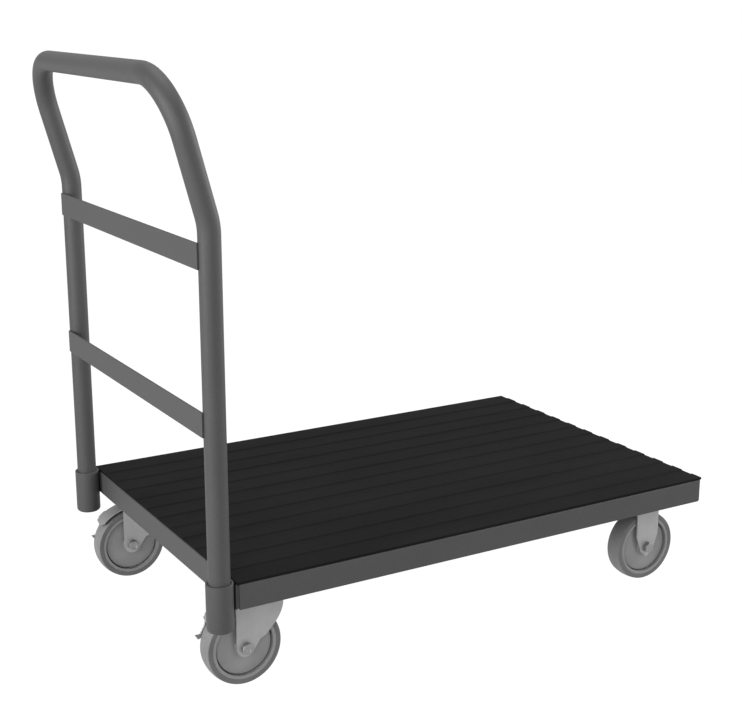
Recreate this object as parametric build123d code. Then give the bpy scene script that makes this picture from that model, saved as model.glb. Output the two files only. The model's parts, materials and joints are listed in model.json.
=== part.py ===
from build123d import *

"""Platform cart: a steel deck on casters with a lift-out tubular push handle.

The model is drawn about the middle of the deck: +X points to the front, where the rigid
casters are, and the handle stands at the rear (-X). Y runs across the deck, left is +Y, and
Z = 0 is the floor. Every piece is written moved along X, so that the origin ends up under
the middle of the whole cart, handle included. Lengths are millimetres, angles degrees.
"""

import os
from math import acos, atan2, cos, degrees, hypot, radians, sin, sqrt, tan

# ---------------------------------------------------------------- deck
DECK_LENGTH = 914.4
DECK_WIDTH = 609.6
SHEET = 1.9
FLANGE_DEPTH = 40.5
BEND_RADIUS = 3.0
SIDE_FLANGE_SHORT = 4.4

# ---------------------------------------------------------------- ribbed mat
MAT_BASE = 2.8
RIB_HEIGHT = 1.4
RIB_COUNT = 12
RIB_TOP_WIDTH = 24.0
RIB_SLOPE = 2.6

# ---------------------------------------------------------------- handle and its sockets
TUBE_RADIUS = 16.7
TUBE_WALL = 3.4
SOCKET_WALL = 3.55
SOCKET_CLEARANCE = 0.83
SOCKET_RISE = 3.2
SOCKET_LENGTH = 76.2
SOCKET_FLOOR = 4.0
SOCKET_EDGE = 5.5
SOCKET_SIDE_INSET = 15.1
SEAT_GAP = 0.3
HANDLE_TOP_Z = 930.0
HANDLE_LEAN_RISE = 203.0
HANDLE_LEAN = 15.2
LEAN_RADIUS = 113.0
CORNER_RADIUS = 89.0
BAR_HEIGHT = 38.1
BAR_THICKNESS = 3.2
BAR_EDGE = 0.6
UPPER_BAR_BELOW_BEND = 43.1
BAR_SPACING = 243.7

# ---------------------------------------------------------------- caster plates and channels
CASTER_HEADROOM = 31.75
CASTER_SIDE_INSET = 66.1
REAR_KINGPIN_INSET = 72.3
FRONT_AXLE_INSET = 78.55
SWIVEL_LEAD = 38.0
PLATE_END_MARGIN = 8.75
PLATE_SIDE_MARGIN = 7.9
PLATE_THICKNESS = 3.0
PLATE_CORNER = 6.0
HOLE_SPACING_X = 74.6
HOLE_SPACING_Y = 44.5
CHANNEL_DEPTH = 31.35
CHANNEL_MARGIN = 16.7
CHANNEL_WALL = 3.0
CHANNEL_END_GAP = 1.0

# ---------------------------------------------------------------- fasteners
BOLT_RADIUS = 3.97
BOLT_CLEARANCE = 0.43
BOLT_HEX = 12.7
BOLT_HEAD = 5.3
NUT_HEIGHT = 6.6
BOLT_STUB = 2.0
AXLE_RADIUS = 4.0
AXLE_HEAD_RADIUS = 9.0
AXLE_HEAD = 8.0
AXLE_HEX = 17.0
AXLE_STUB = 1.2

# ---------------------------------------------------------------- wheels
WHEEL_RADIUS = 63.5
WHEEL_WIDTH = 31.75
TYRE_DEPTH = 9.9
TYRE_CROWN = 2.0
TYRE_FLAT = 12.0
TYRE_SHOULDER = 1.8
RIM_WALL = 5.0
RIM_SET_BACK = 0.3
DISC_RECESS = 6.0
HUB_WALL = 4.4
HUB_SIDE_GAP = 0.4
SLEEVE_WALL = 2.2
BEARING_WALL = 3.4
BEARING_SHORT = 0.5
RUNNING_GAP = 0.06

# ---------------------------------------------------------------- forks
FORK_WALL = 3.0
WHEEL_SIDE_GAP = 1.3
LEG_TIP_RADIUS = 15.0
TIP_REAR_MIDDLE = 225.0
TIP_FRONT_MIDDLE = 300.0
YOKE_DISC_MARGIN = 6.0
YOKE_CREASE = (24.4, 9.4)
YOKE_NOSE_SETBACK = 10.4
YOKE_NOSE_NARROWING = 0.775
WING_START = (34.0, 14.5)
WING_MIDDLE_SETBACK = 10.5
WING_MIDDLE_RISE = 36.0
WING_END_RISE = 62.0
RIGID_LEG_WIDTH = 48.5
RIGID_TAPER_RISE = 22.5
RIGID_FOOT_WIDTH = 28.0
RIGID_FOOT_DROP = 7.5
RIGID_TIP_DROP = 18.1

# ---------------------------------------------------------------- swivel bearing
KINGPIN_RADIUS = 6.0
KINGPIN_HEAD_MARGIN = 4.0
KINGPIN_HEAD = 4.5
KINGPIN_EDGE = 1.5
RACE_MARGIN = 3.1
RACE_HEIGHT = 2.5
UPPER_BALL = 6.65
UPPER_BALL_COUNT = 18
UPPER_BALL_CIRCLE = 22.0
LOWER_BALL = 3.8
LOWER_BALL_COUNT = 14
LOWER_BALL_MARGIN = 3.4
CAGE_SHARE = 0.3
SKIRT_WALL = 2.0
SKIRT_GAP = 0.4
SKIRT_DEPTH = 3.4
BEARING_GAP = 0.3

# ---------------------------------------------------------------- brake, about the rear axle
BRAKE_PIVOT_BACK = 9.1
BRAKE_PIVOT_LIFT = 11.0
BRAKE_PIN_RADIUS = 2.5
BRAKE_PIN_HEAD_RADIUS = 4.0
BRAKE_PIN_HEAD = 1.8
BRAKE_EYE_WALL = 2.3
SHOE_GAP = 4.9
SHOE_THICKNESS = 2.2
SHOE_NARROWING = 0.15
SHOE_START = 96.0
SHOE_END = 143.0
SHOE_CORNER = 9.0
SHOE_CUT_DEPTH = 8.8
SHOE_WEB_TURN = 6.0
LEVER_THICKNESS = 2.2
LEVER_GAP = 1.4
LEVER_ROOT_START = 121.0
LEVER_ROOT_END = 134.0
LEVER_INNER_DROP = 15.5
LEVER_INNER_TURN = 6.0
LEVER_INNER_END = 162.0
LEVER_BACK_DROP = 4.5
LEVER_BACK_TURN = 12.0
LEVER_TIP_REACH = 1.5
LEVER_TIP_RISE = 17.6
LEVER_HEEL_REACH = -4.7
LEVER_HEEL_RISE = 9.4
BRAKE_OPEN = {"left": 0.0, "right": 4.0}

# ---------------------------------------------------------------- worked out
HALF_LENGTH = DECK_LENGTH / 2
HALF_WIDTH = DECK_WIDTH / 2
CASTER_HEIGHT = 2 * WHEEL_RADIUS + CASTER_HEADROOM
DECK_UNDERSIDE = CASTER_HEIGHT + CHANNEL_DEPTH
DECK_TOP = DECK_UNDERSIDE + SHEET
SOCKET_RADIUS = TUBE_RADIUS + SOCKET_CLEARANCE + SOCKET_WALL
SOCKET_TOP = DECK_TOP + SOCKET_RISE
SOCKET_X = -HALF_LENGTH - SOCKET_RADIUS
SOCKET_Y = HALF_WIDTH - SOCKET_SIDE_INSET
SOCKET_BOTTOM = SOCKET_TOP - SOCKET_LENGTH
HANDLE_BEND_Z = HANDLE_TOP_Z - HANDLE_LEAN_RISE
UPPER_BAR_Z = HANDLE_BEND_Z - UPPER_BAR_BELOW_BEND
LOWER_BAR_Z = UPPER_BAR_Z - BAR_SPACING
HANDLE_TOP_X = SOCKET_X - (HANDLE_TOP_Z - HANDLE_BEND_Z) * tan(radians(HANDLE_LEAN))
ORIGIN_X = (HALF_LENGTH + HANDLE_TOP_X - TUBE_RADIUS) / 2
REAR_KINGPIN_X = REAR_KINGPIN_INSET - HALF_LENGTH
REAR_AXLE_X = REAR_KINGPIN_X - SWIVEL_LEAD
FRONT_AXLE_X = HALF_LENGTH - FRONT_AXLE_INSET
PLATE_LENGTH = HOLE_SPACING_X + 2 * PLATE_END_MARGIN
PLATE_WIDTH = HOLE_SPACING_Y + 2 * PLATE_SIDE_MARGIN
CHANNEL_WIDTH = HOLE_SPACING_X + 2 * CHANNEL_MARGIN
BOLT_HOLE_RADIUS = BOLT_RADIUS + BOLT_CLEARANCE
TYRE_INNER_RADIUS = WHEEL_RADIUS - TYRE_DEPTH
RIM_INNER_RADIUS = TYRE_INNER_RADIUS - RIM_WALL
SLEEVE_RADIUS = AXLE_RADIUS + SLEEVE_WALL
BEARING_RADIUS = SLEEVE_RADIUS + BEARING_WALL
HUB_RADIUS = BEARING_RADIUS + HUB_WALL
KINGPIN_HEAD_RADIUS = KINGPIN_RADIUS + KINGPIN_HEAD_MARGIN
LOWER_BALL_CIRCLE = KINGPIN_RADIUS + LOWER_BALL_MARGIN
RACE_RADIUS = LOWER_BALL_CIRCLE + RACE_MARGIN
YOKE_DISC_RADIUS = UPPER_BALL_CIRCLE + YOKE_DISC_MARGIN
YOKE_NOSE = WHEEL_RADIUS - YOKE_NOSE_SETBACK - SWIVEL_LEAD
WING_MIDDLE = (WHEEL_RADIUS - WING_MIDDLE_SETBACK, WING_MIDDLE_RISE)
AXLE_Z = WHEEL_RADIUS
PLATE_BOTTOM = CASTER_HEIGHT - PLATE_THICKNESS
YOKE_TOP = PLATE_BOTTOM - UPPER_BALL - BEARING_GAP
YOKE_CAP = YOKE_TOP - FORK_WALL
RACE_TOP = YOKE_CAP - BEARING_GAP - LOWER_BALL
LEG_INNER = WHEEL_WIDTH / 2 + WHEEL_SIDE_GAP
LEG_OUTER = LEG_INNER + FORK_WALL
YOKE_NOSE_RADIUS = LEG_OUTER - YOKE_NOSE_NARROWING
SHOE_INNER_RADIUS = WHEEL_RADIUS + SHOE_GAP
SHOE_OUTER_RADIUS = SHOE_INNER_RADIUS + SHOE_THICKNESS
LEVER_FACE = WHEEL_WIDTH / 2 + LEVER_GAP
SHOE_WIDTH = WHEEL_WIDTH - SHOE_NARROWING
LEVER_INNER_RADIUS = WHEEL_RADIUS - LEVER_INNER_DROP
LEVER_BACK_RADIUS = WHEEL_RADIUS - LEVER_BACK_DROP
LEVER_TIP = (-WHEEL_RADIUS - LEVER_TIP_REACH, LEVER_TIP_RISE)
LEVER_TIP_HEEL = (-WHEEL_RADIUS - LEVER_HEEL_REACH, LEVER_HEEL_RISE)
BRAKE_PIVOT = (-BRAKE_PIVOT_BACK, WHEEL_RADIUS + BRAKE_PIVOT_LIFT)
CASTER_Y = HALF_WIDTH - CASTER_SIDE_INSET
SIDES = {"left": CASTER_Y, "right": -CASTER_Y}


def save(name, piece):
    """Write one piece to its STEP file, moved so that the cart's middle is the origin."""
    export_step(Pos(-ORIGIN_X, 0, 0) * piece, f"parts/{name}.step")


def rod(radius, start, end):
    """A round bar between two points."""
    axis = Vector(*end) - Vector(*start)
    return extrude(Plane(origin=start, z_dir=axis) * Circle(radius), axis.length)


def hex_rod(across_flats, start, end):
    """A hexagonal bar between two points."""
    axis = Vector(*end) - Vector(*start)
    section = RegularPolygon(across_flats / sqrt(3), 6)
    return extrude(Plane(origin=start, z_dir=axis) * section, axis.length)


def side_cut(face, y_from, y_to):
    """Extrude a face drawn as (x, z) about the axle from y_from to y_to."""
    return extrude(Plane.XZ.offset(-y_to) * face, y_to - y_from)


def polar(radius, angle):
    """The (x, z) point at an angle about the axle, from forwards up and over to the rear."""
    return (radius * cos(radians(angle)), radius * sin(radians(angle)))


def tangent_point(point, centre, radius):
    """Where a line from a point touches a circle, on the circle's clockwise side."""
    dx = point[0] - centre[0]
    dy = point[1] - centre[1]
    angle = atan2(dy, dx) - acos(radius / hypot(dx, dy))
    return (centre[0] + radius * cos(angle), centre[1] + radius * sin(angle))


# ---------------------------------------------------------------- deck
def end_flange():
    """The front flange with the strip of top sheet that it is bent from."""
    corner = (Align.MAX, Align.CENTER, Align.MAX)
    size = (2 * BEND_RADIUS + SIDE_FLANGE_SHORT, DECK_WIDTH - 2 * BEND_RADIUS, FLANGE_DEPTH)
    outside = Box(*size, align=corner)
    inside = Pos(-SHEET, 0, -SHEET) * Box(*size, align=corner)
    outside = fillet(top_edges(outside, Axis.Y)[-1], BEND_RADIUS)
    inside = fillet(top_edges(inside, Axis.Y)[-1], BEND_RADIUS - SHEET)
    return Pos(HALF_LENGTH, 0, DECK_TOP) * (outside - inside)


def top_edges(block, axis):
    """A block's topmost edges along an axis, sorted along X."""
    return block.edges().filter_by(axis).group_by(Axis.Z)[-1].sort_by(Axis.X)


def deck_tray():
    """The steel tray: top sheet, two side flanges, and an end flange at the front and rear."""
    top = (Align.CENTER, Align.CENTER, Align.MAX)
    side_length = DECK_LENGTH - 2 * SIDE_FLANGE_SHORT
    outside = Pos(0, 0, DECK_TOP) * Box(side_length, DECK_WIDTH, FLANGE_DEPTH, align=top)
    inside = Pos(0, 0, DECK_UNDERSIDE) * Box(DECK_LENGTH, DECK_WIDTH - 2 * SHEET, FLANGE_DEPTH, align=top)
    outside = fillet(top_edges(outside, Axis.X), BEND_RADIUS)
    inside = fillet(top_edges(inside, Axis.X), BEND_RADIUS - SHEET)
    flange = end_flange()
    return outside - inside + flange + Rot(0, 0, 180) * flange


def rubber_mat():
    """The mat: a flat base with wide raised ribs running the length of the deck."""
    pitch = DECK_WIDTH / RIB_COUNT
    low = DECK_TOP + MAT_BASE
    high = low + RIB_HEIGHT
    outline = [(-HALF_WIDTH, DECK_TOP)]
    for rib in range(RIB_COUNT):
        start = -HALF_WIDTH + rib * pitch
        foot = start - RIB_SLOPE
        outline += [(foot, low), (start, high)] if rib else [(start, high)]
        outline += [(start + RIB_TOP_WIDTH, high), (start + RIB_TOP_WIDTH + RIB_SLOPE, low)]
    outline += [(HALF_WIDTH, low), (HALF_WIDTH, DECK_TOP)]
    section = make_face(Polyline(*outline, close=True))
    return extrude(Plane.YZ.offset(-HALF_LENGTH) * section, DECK_LENGTH)


def cross_channel(middle_x):
    """The welded channel under the deck that one pair of casters bolts to."""
    top = (Align.CENTER, Align.CENTER, Align.MAX)
    length = DECK_WIDTH - 2 * (SHEET + CHANNEL_END_GAP)
    depth = DECK_UNDERSIDE - CASTER_HEIGHT
    hollow_width = CHANNEL_WIDTH - 2 * CHANNEL_WALL
    channel = Pos(middle_x, 0, DECK_UNDERSIDE) * Box(CHANNEL_WIDTH, length, depth, align=top)
    hollow = Box(hollow_width, length, depth - CHANNEL_WALL, align=top)
    channel -= Pos(middle_x, 0, DECK_UNDERSIDE) * hollow
    for y in SIDES.values():
        channel -= bolt_group(middle_x, y, BOLT_HOLE_RADIUS, CASTER_HEIGHT, CASTER_HEIGHT + CHANNEL_WALL)
    return channel


def bolt_group(x, y, radius, z_from, z_to):
    """Four upright round bars on a caster plate's hole pattern."""
    bars = [rod(radius, (hx, hy, z_from), (hx, hy, z_to)) for hx, hy in bolt_places(x, y)]
    return Compound(bars)


def bolt_places(x, y):
    """The four bolt positions of a caster whose plate is centred on (x, y)."""
    half_x = HOLE_SPACING_X / 2
    half_y = HOLE_SPACING_Y / 2
    return [(x + i * half_x, y + j * half_y) for i in (-1, 1) for j in (-1, 1)]


def all_bolt_places():
    """Every plate bolt's position, rear casters first."""
    return [
        place
        for x in (REAR_KINGPIN_X, FRONT_AXLE_X)
        for y in SIDES.values()
        for place in bolt_places(x, y)
    ]


def plate_bolts():
    """The hexagon bolts that hold the caster plates, heads down."""
    shank_top = CASTER_HEIGHT + CHANNEL_WALL + NUT_HEIGHT + BOLT_STUB
    bolts = []
    for x, y in all_bolt_places():
        head = hex_rod(BOLT_HEX, (x, y, PLATE_BOTTOM - BOLT_HEAD), (x, y, PLATE_BOTTOM))
        bolts.append(head + rod(BOLT_RADIUS, (x, y, PLATE_BOTTOM), (x, y, shank_top)))
    return Compound(bolts)


def plate_nuts():
    """The nuts of the plate bolts, inside the channels."""
    base = CASTER_HEIGHT + CHANNEL_WALL
    nuts = []
    for x, y in all_bolt_places():
        ends = ((x, y, base), (x, y, base + NUT_HEIGHT))
        nuts.append(hex_rod(BOLT_HEX, *ends) - rod(BOLT_RADIUS, *ends))
    return Compound(nuts)


# ---------------------------------------------------------------- handle
def socket(side):
    """One upright pipe socket, closed and rounded at its foot, tangent to the rear flange."""
    y = side * SOCKET_Y
    shell = rod(SOCKET_RADIUS, (SOCKET_X, y, SOCKET_BOTTOM), (SOCKET_X, y, SOCKET_TOP))
    shell = fillet(shell.edges().filter_by(GeomType.CIRCLE).sort_by(Axis.Z)[0], SOCKET_EDGE)
    floor = (SOCKET_X, y, SOCKET_BOTTOM + SOCKET_FLOOR)
    return shell - rod(SOCKET_RADIUS - SOCKET_WALL, floor, (SOCKET_X, y, SOCKET_TOP))


def handle_tube():
    """The push handle: one tube, up from both sockets, leaning back and across the top."""
    foot = SOCKET_BOTTOM + SOCKET_FLOOR + SEAT_GAP
    right = [(SOCKET_X, -SOCKET_Y, foot), (SOCKET_X, -SOCKET_Y, HANDLE_BEND_Z)]
    right.append((HANDLE_TOP_X, -SOCKET_Y, HANDLE_TOP_Z))
    left = [(x, -y, z) for x, y, z in reversed(right)]
    radii = [LEAN_RADIUS, CORNER_RADIUS, CORNER_RADIUS, LEAN_RADIUS]
    path = FilletPolyline(*right, *left, radius=radii)
    section = Circle(TUBE_RADIUS) - Circle(TUBE_RADIUS - TUBE_WALL)
    return sweep(Plane(origin=path @ 0, z_dir=path % 0) * section, path=path)


def crossbar(middle_z):
    """A flat bar across the back of both uprights, its edges eased."""
    rear_x = SOCKET_X - TUBE_RADIUS
    place = Pos(rear_x - BAR_THICKNESS / 2, 0, middle_z)
    bar = place * Box(BAR_THICKNESS, 2 * SOCKET_Y, BAR_HEIGHT)
    return fillet(bar.edges().filter_by(Axis.Y), BAR_EDGE)


# ---------------------------------------------------------------- casters
def caster_plate(x, y):
    """A caster's rounded rectangular top plate with its four bolt holes."""
    outline = RectangleRounded(PLATE_LENGTH, PLATE_WIDTH, PLATE_CORNER)
    plate = extrude(Pos(x, y, PLATE_BOTTOM) * outline, PLATE_THICKNESS)
    return plate - bolt_group(x, y, BOLT_HOLE_RADIUS, PLATE_BOTTOM, CASTER_HEIGHT)


def swivel_plate(y):
    """The swivel caster's plate with the round skirt that shields its balls."""
    inner = UPPER_BALL_CIRCLE + UPPER_BALL / 2 + SKIRT_GAP
    ring = Circle(inner + SKIRT_WALL) - Circle(inner)
    place = Pos(REAR_KINGPIN_X, y, PLATE_BOTTOM - SKIRT_DEPTH)
    plate = caster_plate(REAR_KINGPIN_X, y) + extrude(place * ring, SKIRT_DEPTH)
    ends = ((REAR_KINGPIN_X, y, PLATE_BOTTOM), (REAR_KINGPIN_X, y, CASTER_HEIGHT))
    return plate - rod(KINGPIN_RADIUS, *ends)


def kingpin(y):
    """The headed pin that the yoke hangs on."""
    head_top = RACE_TOP - RACE_HEIGHT
    head_bottom = head_top - KINGPIN_HEAD
    x = REAR_KINGPIN_X
    head = rod(KINGPIN_HEAD_RADIUS, (x, y, head_bottom), (x, y, head_top))
    head = fillet(head.edges().filter_by(GeomType.CIRCLE).sort_by(Axis.Z)[0], KINGPIN_EDGE)
    return head + rod(KINGPIN_RADIUS, (x, y, head_top), (x, y, CASTER_HEIGHT))


def lower_race(y):
    """The washer-shaped race on the kingpin's head."""
    ends = ((REAR_KINGPIN_X, y, RACE_TOP - RACE_HEIGHT), (REAR_KINGPIN_X, y, RACE_TOP))
    return rod(RACE_RADIUS, *ends) - rod(KINGPIN_RADIUS, *ends)


def caged_balls(y, bottom_z, ball, circle, count):
    """A ring of balls with the thin cage that spaces them."""
    cage = ball * CAGE_SHARE
    ring = Circle(circle + cage) - Circle(circle - cage)
    middle_z = bottom_z + ball / 2
    bearing = extrude(Pos(REAR_KINGPIN_X, y, middle_z - cage / 2) * ring, cage)
    for place in PolarLocations(circle, count):
        bearing += Pos(REAR_KINGPIN_X, y, middle_z) * place * Sphere(ball / 2)
    return bearing


def yoke_plan(inset, rear_x):
    """The yoke seen from above: straight legs, then sides closing on a round nose."""
    half = LEG_OUTER - inset
    radius = YOKE_NOSE_RADIUS - inset
    crease = (REAR_AXLE_X + YOKE_CREASE[0], half)
    centre = (REAR_KINGPIN_X + YOKE_NOSE, 0)
    touch = tangent_point(crease, centre, radius)
    edges = [
        Line((rear_x, -half), (rear_x, half)),
        Line((rear_x, half), crease),
        Line(crease, touch),
        ThreePointArc(touch, (centre[0] + radius, 0), (touch[0], -touch[1])),
        Line((touch[0], -touch[1]), (crease[0], -half)),
        Line((crease[0], -half), (rear_x, -half)),
    ]
    return make_face(edges)


def yoke_side():
    """The yoke seen from its side, about the axle: upright rear edge, round tip, swept front."""
    top = YOKE_TOP - AXLE_Z
    front = SWIVEL_LEAD + YOKE_NOSE + YOKE_NOSE_RADIUS
    rear = -LEG_TIP_RADIUS
    touch = tangent_point(YOKE_CREASE, (0, 0), LEG_TIP_RADIUS)
    lowest = (0, -LEG_TIP_RADIUS)
    edges = [
        Line((rear, top), (rear, 0)),
        ThreePointArc((rear, 0), polar(LEG_TIP_RADIUS, TIP_REAR_MIDDLE), lowest),
        ThreePointArc(lowest, polar(LEG_TIP_RADIUS, TIP_FRONT_MIDDLE), touch),
        Line(touch, YOKE_CREASE),
        Line(YOKE_CREASE, WING_START),
        ThreePointArc(WING_START, WING_MIDDLE, (front, WING_END_RISE)),
        Line((front, WING_END_RISE), (front, top)),
        Line((front, top), (rear, top)),
    ]
    return make_face(edges)


def swivel_yoke(y):
    """The swivel caster's pressed yoke: two legs, a closed nose and a round ball race on top."""
    rear_x = REAR_AXLE_X - LEG_TIP_RADIUS
    low = AXLE_Z - LEG_TIP_RADIUS
    block = extrude(Pos(0, y, low) * yoke_plan(0, rear_x), YOKE_TOP - low)
    block -= extrude(Pos(0, y, low) * yoke_plan(FORK_WALL, rear_x - FORK_WALL), YOKE_CAP - low)
    side = side_cut(yoke_side(), y - LEG_OUTER, y + LEG_OUTER)
    yoke = block & (Pos(REAR_AXLE_X, 0, AXLE_Z) * side)
    x = REAR_KINGPIN_X
    yoke += rod(YOKE_DISC_RADIUS, (x, y, YOKE_CAP), (x, y, YOKE_TOP))
    yoke -= rod(KINGPIN_RADIUS + RUNNING_GAP, (x, y, YOKE_CAP), (x, y, YOKE_TOP))
    yoke -= across(REAR_AXLE_X, AXLE_Z, AXLE_RADIUS, y, -LEG_OUTER, LEG_OUTER)
    return yoke - brake_rod(y, BRAKE_PIN_RADIUS, -LEG_OUTER, LEG_OUTER)


def across(x, z, radius, y, low, high):
    """A round bar along Y, from low to high about the caster's middle plane y."""
    return rod(radius, (x, y + low, z), (x, y + high, z))


def rigid_fork(y):
    """The rigid caster's fork: an arch whose flat legs taper to a point below the axle."""
    half = RIGID_LEG_WIDTH / 2
    foot = RIGID_FOOT_WIDTH / 2
    top = PLATE_BOTTOM - AXLE_Z
    rear_half = [(-half, top), (-half, RIGID_TAPER_RISE), (-foot, -RIGID_FOOT_DROP)]
    front_half = [(-x, z) for x, z in reversed(rear_half)]
    outline = Polyline(*rear_half, (0, -RIGID_TIP_DROP), *front_half, close=True)
    place = Pos(FRONT_AXLE_X, 0, AXLE_Z)
    fork = place * side_cut(make_face(outline), y - LEG_OUTER, y + LEG_OUTER)
    opening = Pos(FRONT_AXLE_X, y, PLATE_BOTTOM - FORK_WALL) * Box(
        RIGID_LEG_WIDTH, 2 * LEG_INNER, CASTER_HEIGHT, align=(Align.CENTER, Align.CENTER, Align.MAX))
    return fork - opening - across(FRONT_AXLE_X, AXLE_Z, AXLE_RADIUS, y, -LEG_OUTER, LEG_OUTER)


def axle_shank(x, y):
    """An axle bolt's shank, from the right leg's outer face to past the nut on the left."""
    return across(x, AXLE_Z, AXLE_RADIUS, y, -LEG_OUTER, LEG_OUTER + AXLE_HEAD + AXLE_STUB)


def swivel_axle(y):
    """The swivel caster's axle bolt with its tall round head."""
    shank = axle_shank(REAR_AXLE_X, y)
    return shank + across(REAR_AXLE_X, AXLE_Z, AXLE_HEAD_RADIUS, y, -LEG_OUTER - AXLE_HEAD, -LEG_OUTER)


def rigid_axle(y):
    """The rigid caster's axle bolt with its hexagon head."""
    ends = [(FRONT_AXLE_X, y - LEG_OUTER - AXLE_HEAD, AXLE_Z), (FRONT_AXLE_X, y - LEG_OUTER, AXLE_Z)]
    return axle_shank(FRONT_AXLE_X, y) + hex_rod(AXLE_HEX, *ends)


def axle_nut(x, y):
    """The nut on an axle bolt's left end."""
    ends = [(x, y + LEG_OUTER, AXLE_Z), (x, y + LEG_OUTER + AXLE_HEAD, AXLE_Z)]
    return hex_rod(AXLE_HEX, *ends) - rod(AXLE_RADIUS, *ends)


def axle_sleeve(x, y):
    """The spacer tube on the axle bolt, held between the legs."""
    return tube(x, y, SLEEVE_RADIUS, AXLE_RADIUS, LEG_INNER)


def tube(x, y, outer, inner, half_length):
    """A short tube round an axle."""
    shell = across(x, AXLE_Z, outer, y, -half_length, half_length)
    return shell - across(x, AXLE_Z, inner, y, -half_length, half_length)


# ---------------------------------------------------------------- wheels
def wheel_tyre(x, y):
    """The tyre: a solid ring with a crowned tread and rounded shoulders."""
    half = WHEEL_WIDTH / 2
    edge = WHEEL_RADIUS - TYRE_CROWN
    flat = TYRE_FLAT / 2
    right = [(TYRE_INNER_RADIUS, -half), (edge, -half), (WHEEL_RADIUS, -flat)]
    left = [(WHEEL_RADIUS, flat), (edge, half), (TYRE_INNER_RADIUS, half)]
    section = make_face(Polyline(*right, *left, close=True).edges())
    shoulders = section.vertices().group_by(Axis.X)[1]
    ring = revolve(fillet(shoulders, TYRE_SHOULDER), Axis.Y)
    return Pos(x, y, AXLE_Z) * ring


def wheel_core(x, y):
    """The wheel's core: hub, recessed disc and rim."""
    rim = WHEEL_WIDTH / 2 - RIM_SET_BACK
    disc = WHEEL_WIDTH / 2 - DISC_RECESS
    hub = LEG_INNER - HUB_SIDE_GAP
    low_side = [(BEARING_RADIUS, -hub), (HUB_RADIUS, -hub), (HUB_RADIUS, -disc)]
    low_side += [(RIM_INNER_RADIUS, -disc), (RIM_INNER_RADIUS, -rim), (TYRE_INNER_RADIUS, -rim)]
    high_side = [(radius, -half) for radius, half in reversed(low_side)]
    section = make_face(Polyline(*low_side, *high_side, close=True))
    return Pos(x, y, AXLE_Z) * revolve(section, Axis.Y)


def wheel_bearing(x, y):
    """The bearing pressed into the hub, which turns on the axle sleeve."""
    half = LEG_INNER - HUB_SIDE_GAP - BEARING_SHORT
    return tube(x, y, BEARING_RADIUS, SLEEVE_RADIUS + RUNNING_GAP, half)


# ---------------------------------------------------------------- brake
def brake_rod(y, radius, low, high):
    """A round bar along the brake's pivot axis."""
    return across(REAR_AXLE_X + BRAKE_PIVOT[0], AXLE_Z + BRAKE_PIVOT[1], radius, y, low, high)


def brake_pin(y):
    """The riveted pin through both legs that the brake turns on."""
    end = LEG_OUTER + BRAKE_PIN_HEAD
    pin = brake_rod(y, BRAKE_PIN_RADIUS, -end, end)
    pin += brake_rod(y, BRAKE_PIN_HEAD_RADIUS, -end, -LEG_OUTER)
    return pin + brake_rod(y, BRAKE_PIN_HEAD_RADIUS, LEG_OUTER, end)


def arc_sector(inner, outer, start, end):
    """A ring sector about the axle, drawn as (x, z)."""
    middle = (start + end) / 2
    edges = [
        ThreePointArc(polar(outer, start), polar(outer, middle), polar(outer, end)),
        Line(polar(outer, end), polar(inner, end)),
        ThreePointArc(polar(inner, end), polar(inner, middle), polar(inner, start)),
        Line(polar(inner, start), polar(outer, start)),
    ]
    return make_face(edges)


def shoe_corner(side):
    """A wedge that takes one corner off the shoe's free end."""
    x, z = polar(SHOE_INNER_RADIUS, SHOE_END)
    radial = polar(1, SHOE_END)
    frame = Plane(origin=(x, side * SHOE_WIDTH / 2, z), x_dir=(0, 1, 0), z_dir=(radial[0], 0, radial[1]))
    reach = sqrt(2) * SHOE_CORNER
    return frame * Rot(0, 0, 45) * Box(reach, reach, SHOE_CUT_DEPTH)


def brake_shoe(y):
    """The arched plate over the tread, with the eye it hangs from and a tab for the lever."""
    eye = BRAKE_PIN_RADIUS + BRAKE_EYE_WALL
    eye_angle = degrees(atan2(BRAKE_PIVOT[1], BRAKE_PIVOT[0]))
    middle_radius = SHOE_INNER_RADIUS + SHOE_THICKNESS / 2
    web = Polyline(polar(middle_radius, eye_angle), polar(middle_radius, eye_angle + SHOE_WEB_TURN),
                   polar(hypot(*BRAKE_PIVOT), eye_angle + SHOE_WEB_TURN / 2), close=True)
    profile = arc_sector(SHOE_INNER_RADIUS, SHOE_OUTER_RADIUS, SHOE_START, SHOE_END)
    profile += Pos(*BRAKE_PIVOT) * Circle(eye)
    profile += make_face(web)
    shoe = side_cut(profile, -SHOE_WIDTH / 2, SHOE_WIDTH / 2)
    shoe -= shoe_corner(1)
    shoe -= shoe_corner(-1)
    tab = arc_sector(SHOE_INNER_RADIUS, SHOE_OUTER_RADIUS, LEVER_ROOT_START, LEVER_ROOT_END)
    shoe += side_cut(tab, 0, LEVER_FACE)
    shoe = Pos(REAR_AXLE_X, y, AXLE_Z) * shoe
    return shoe - brake_rod(y, BRAKE_PIN_RADIUS + RUNNING_GAP, -SHOE_WIDTH / 2, SHOE_WIDTH / 2)


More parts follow.
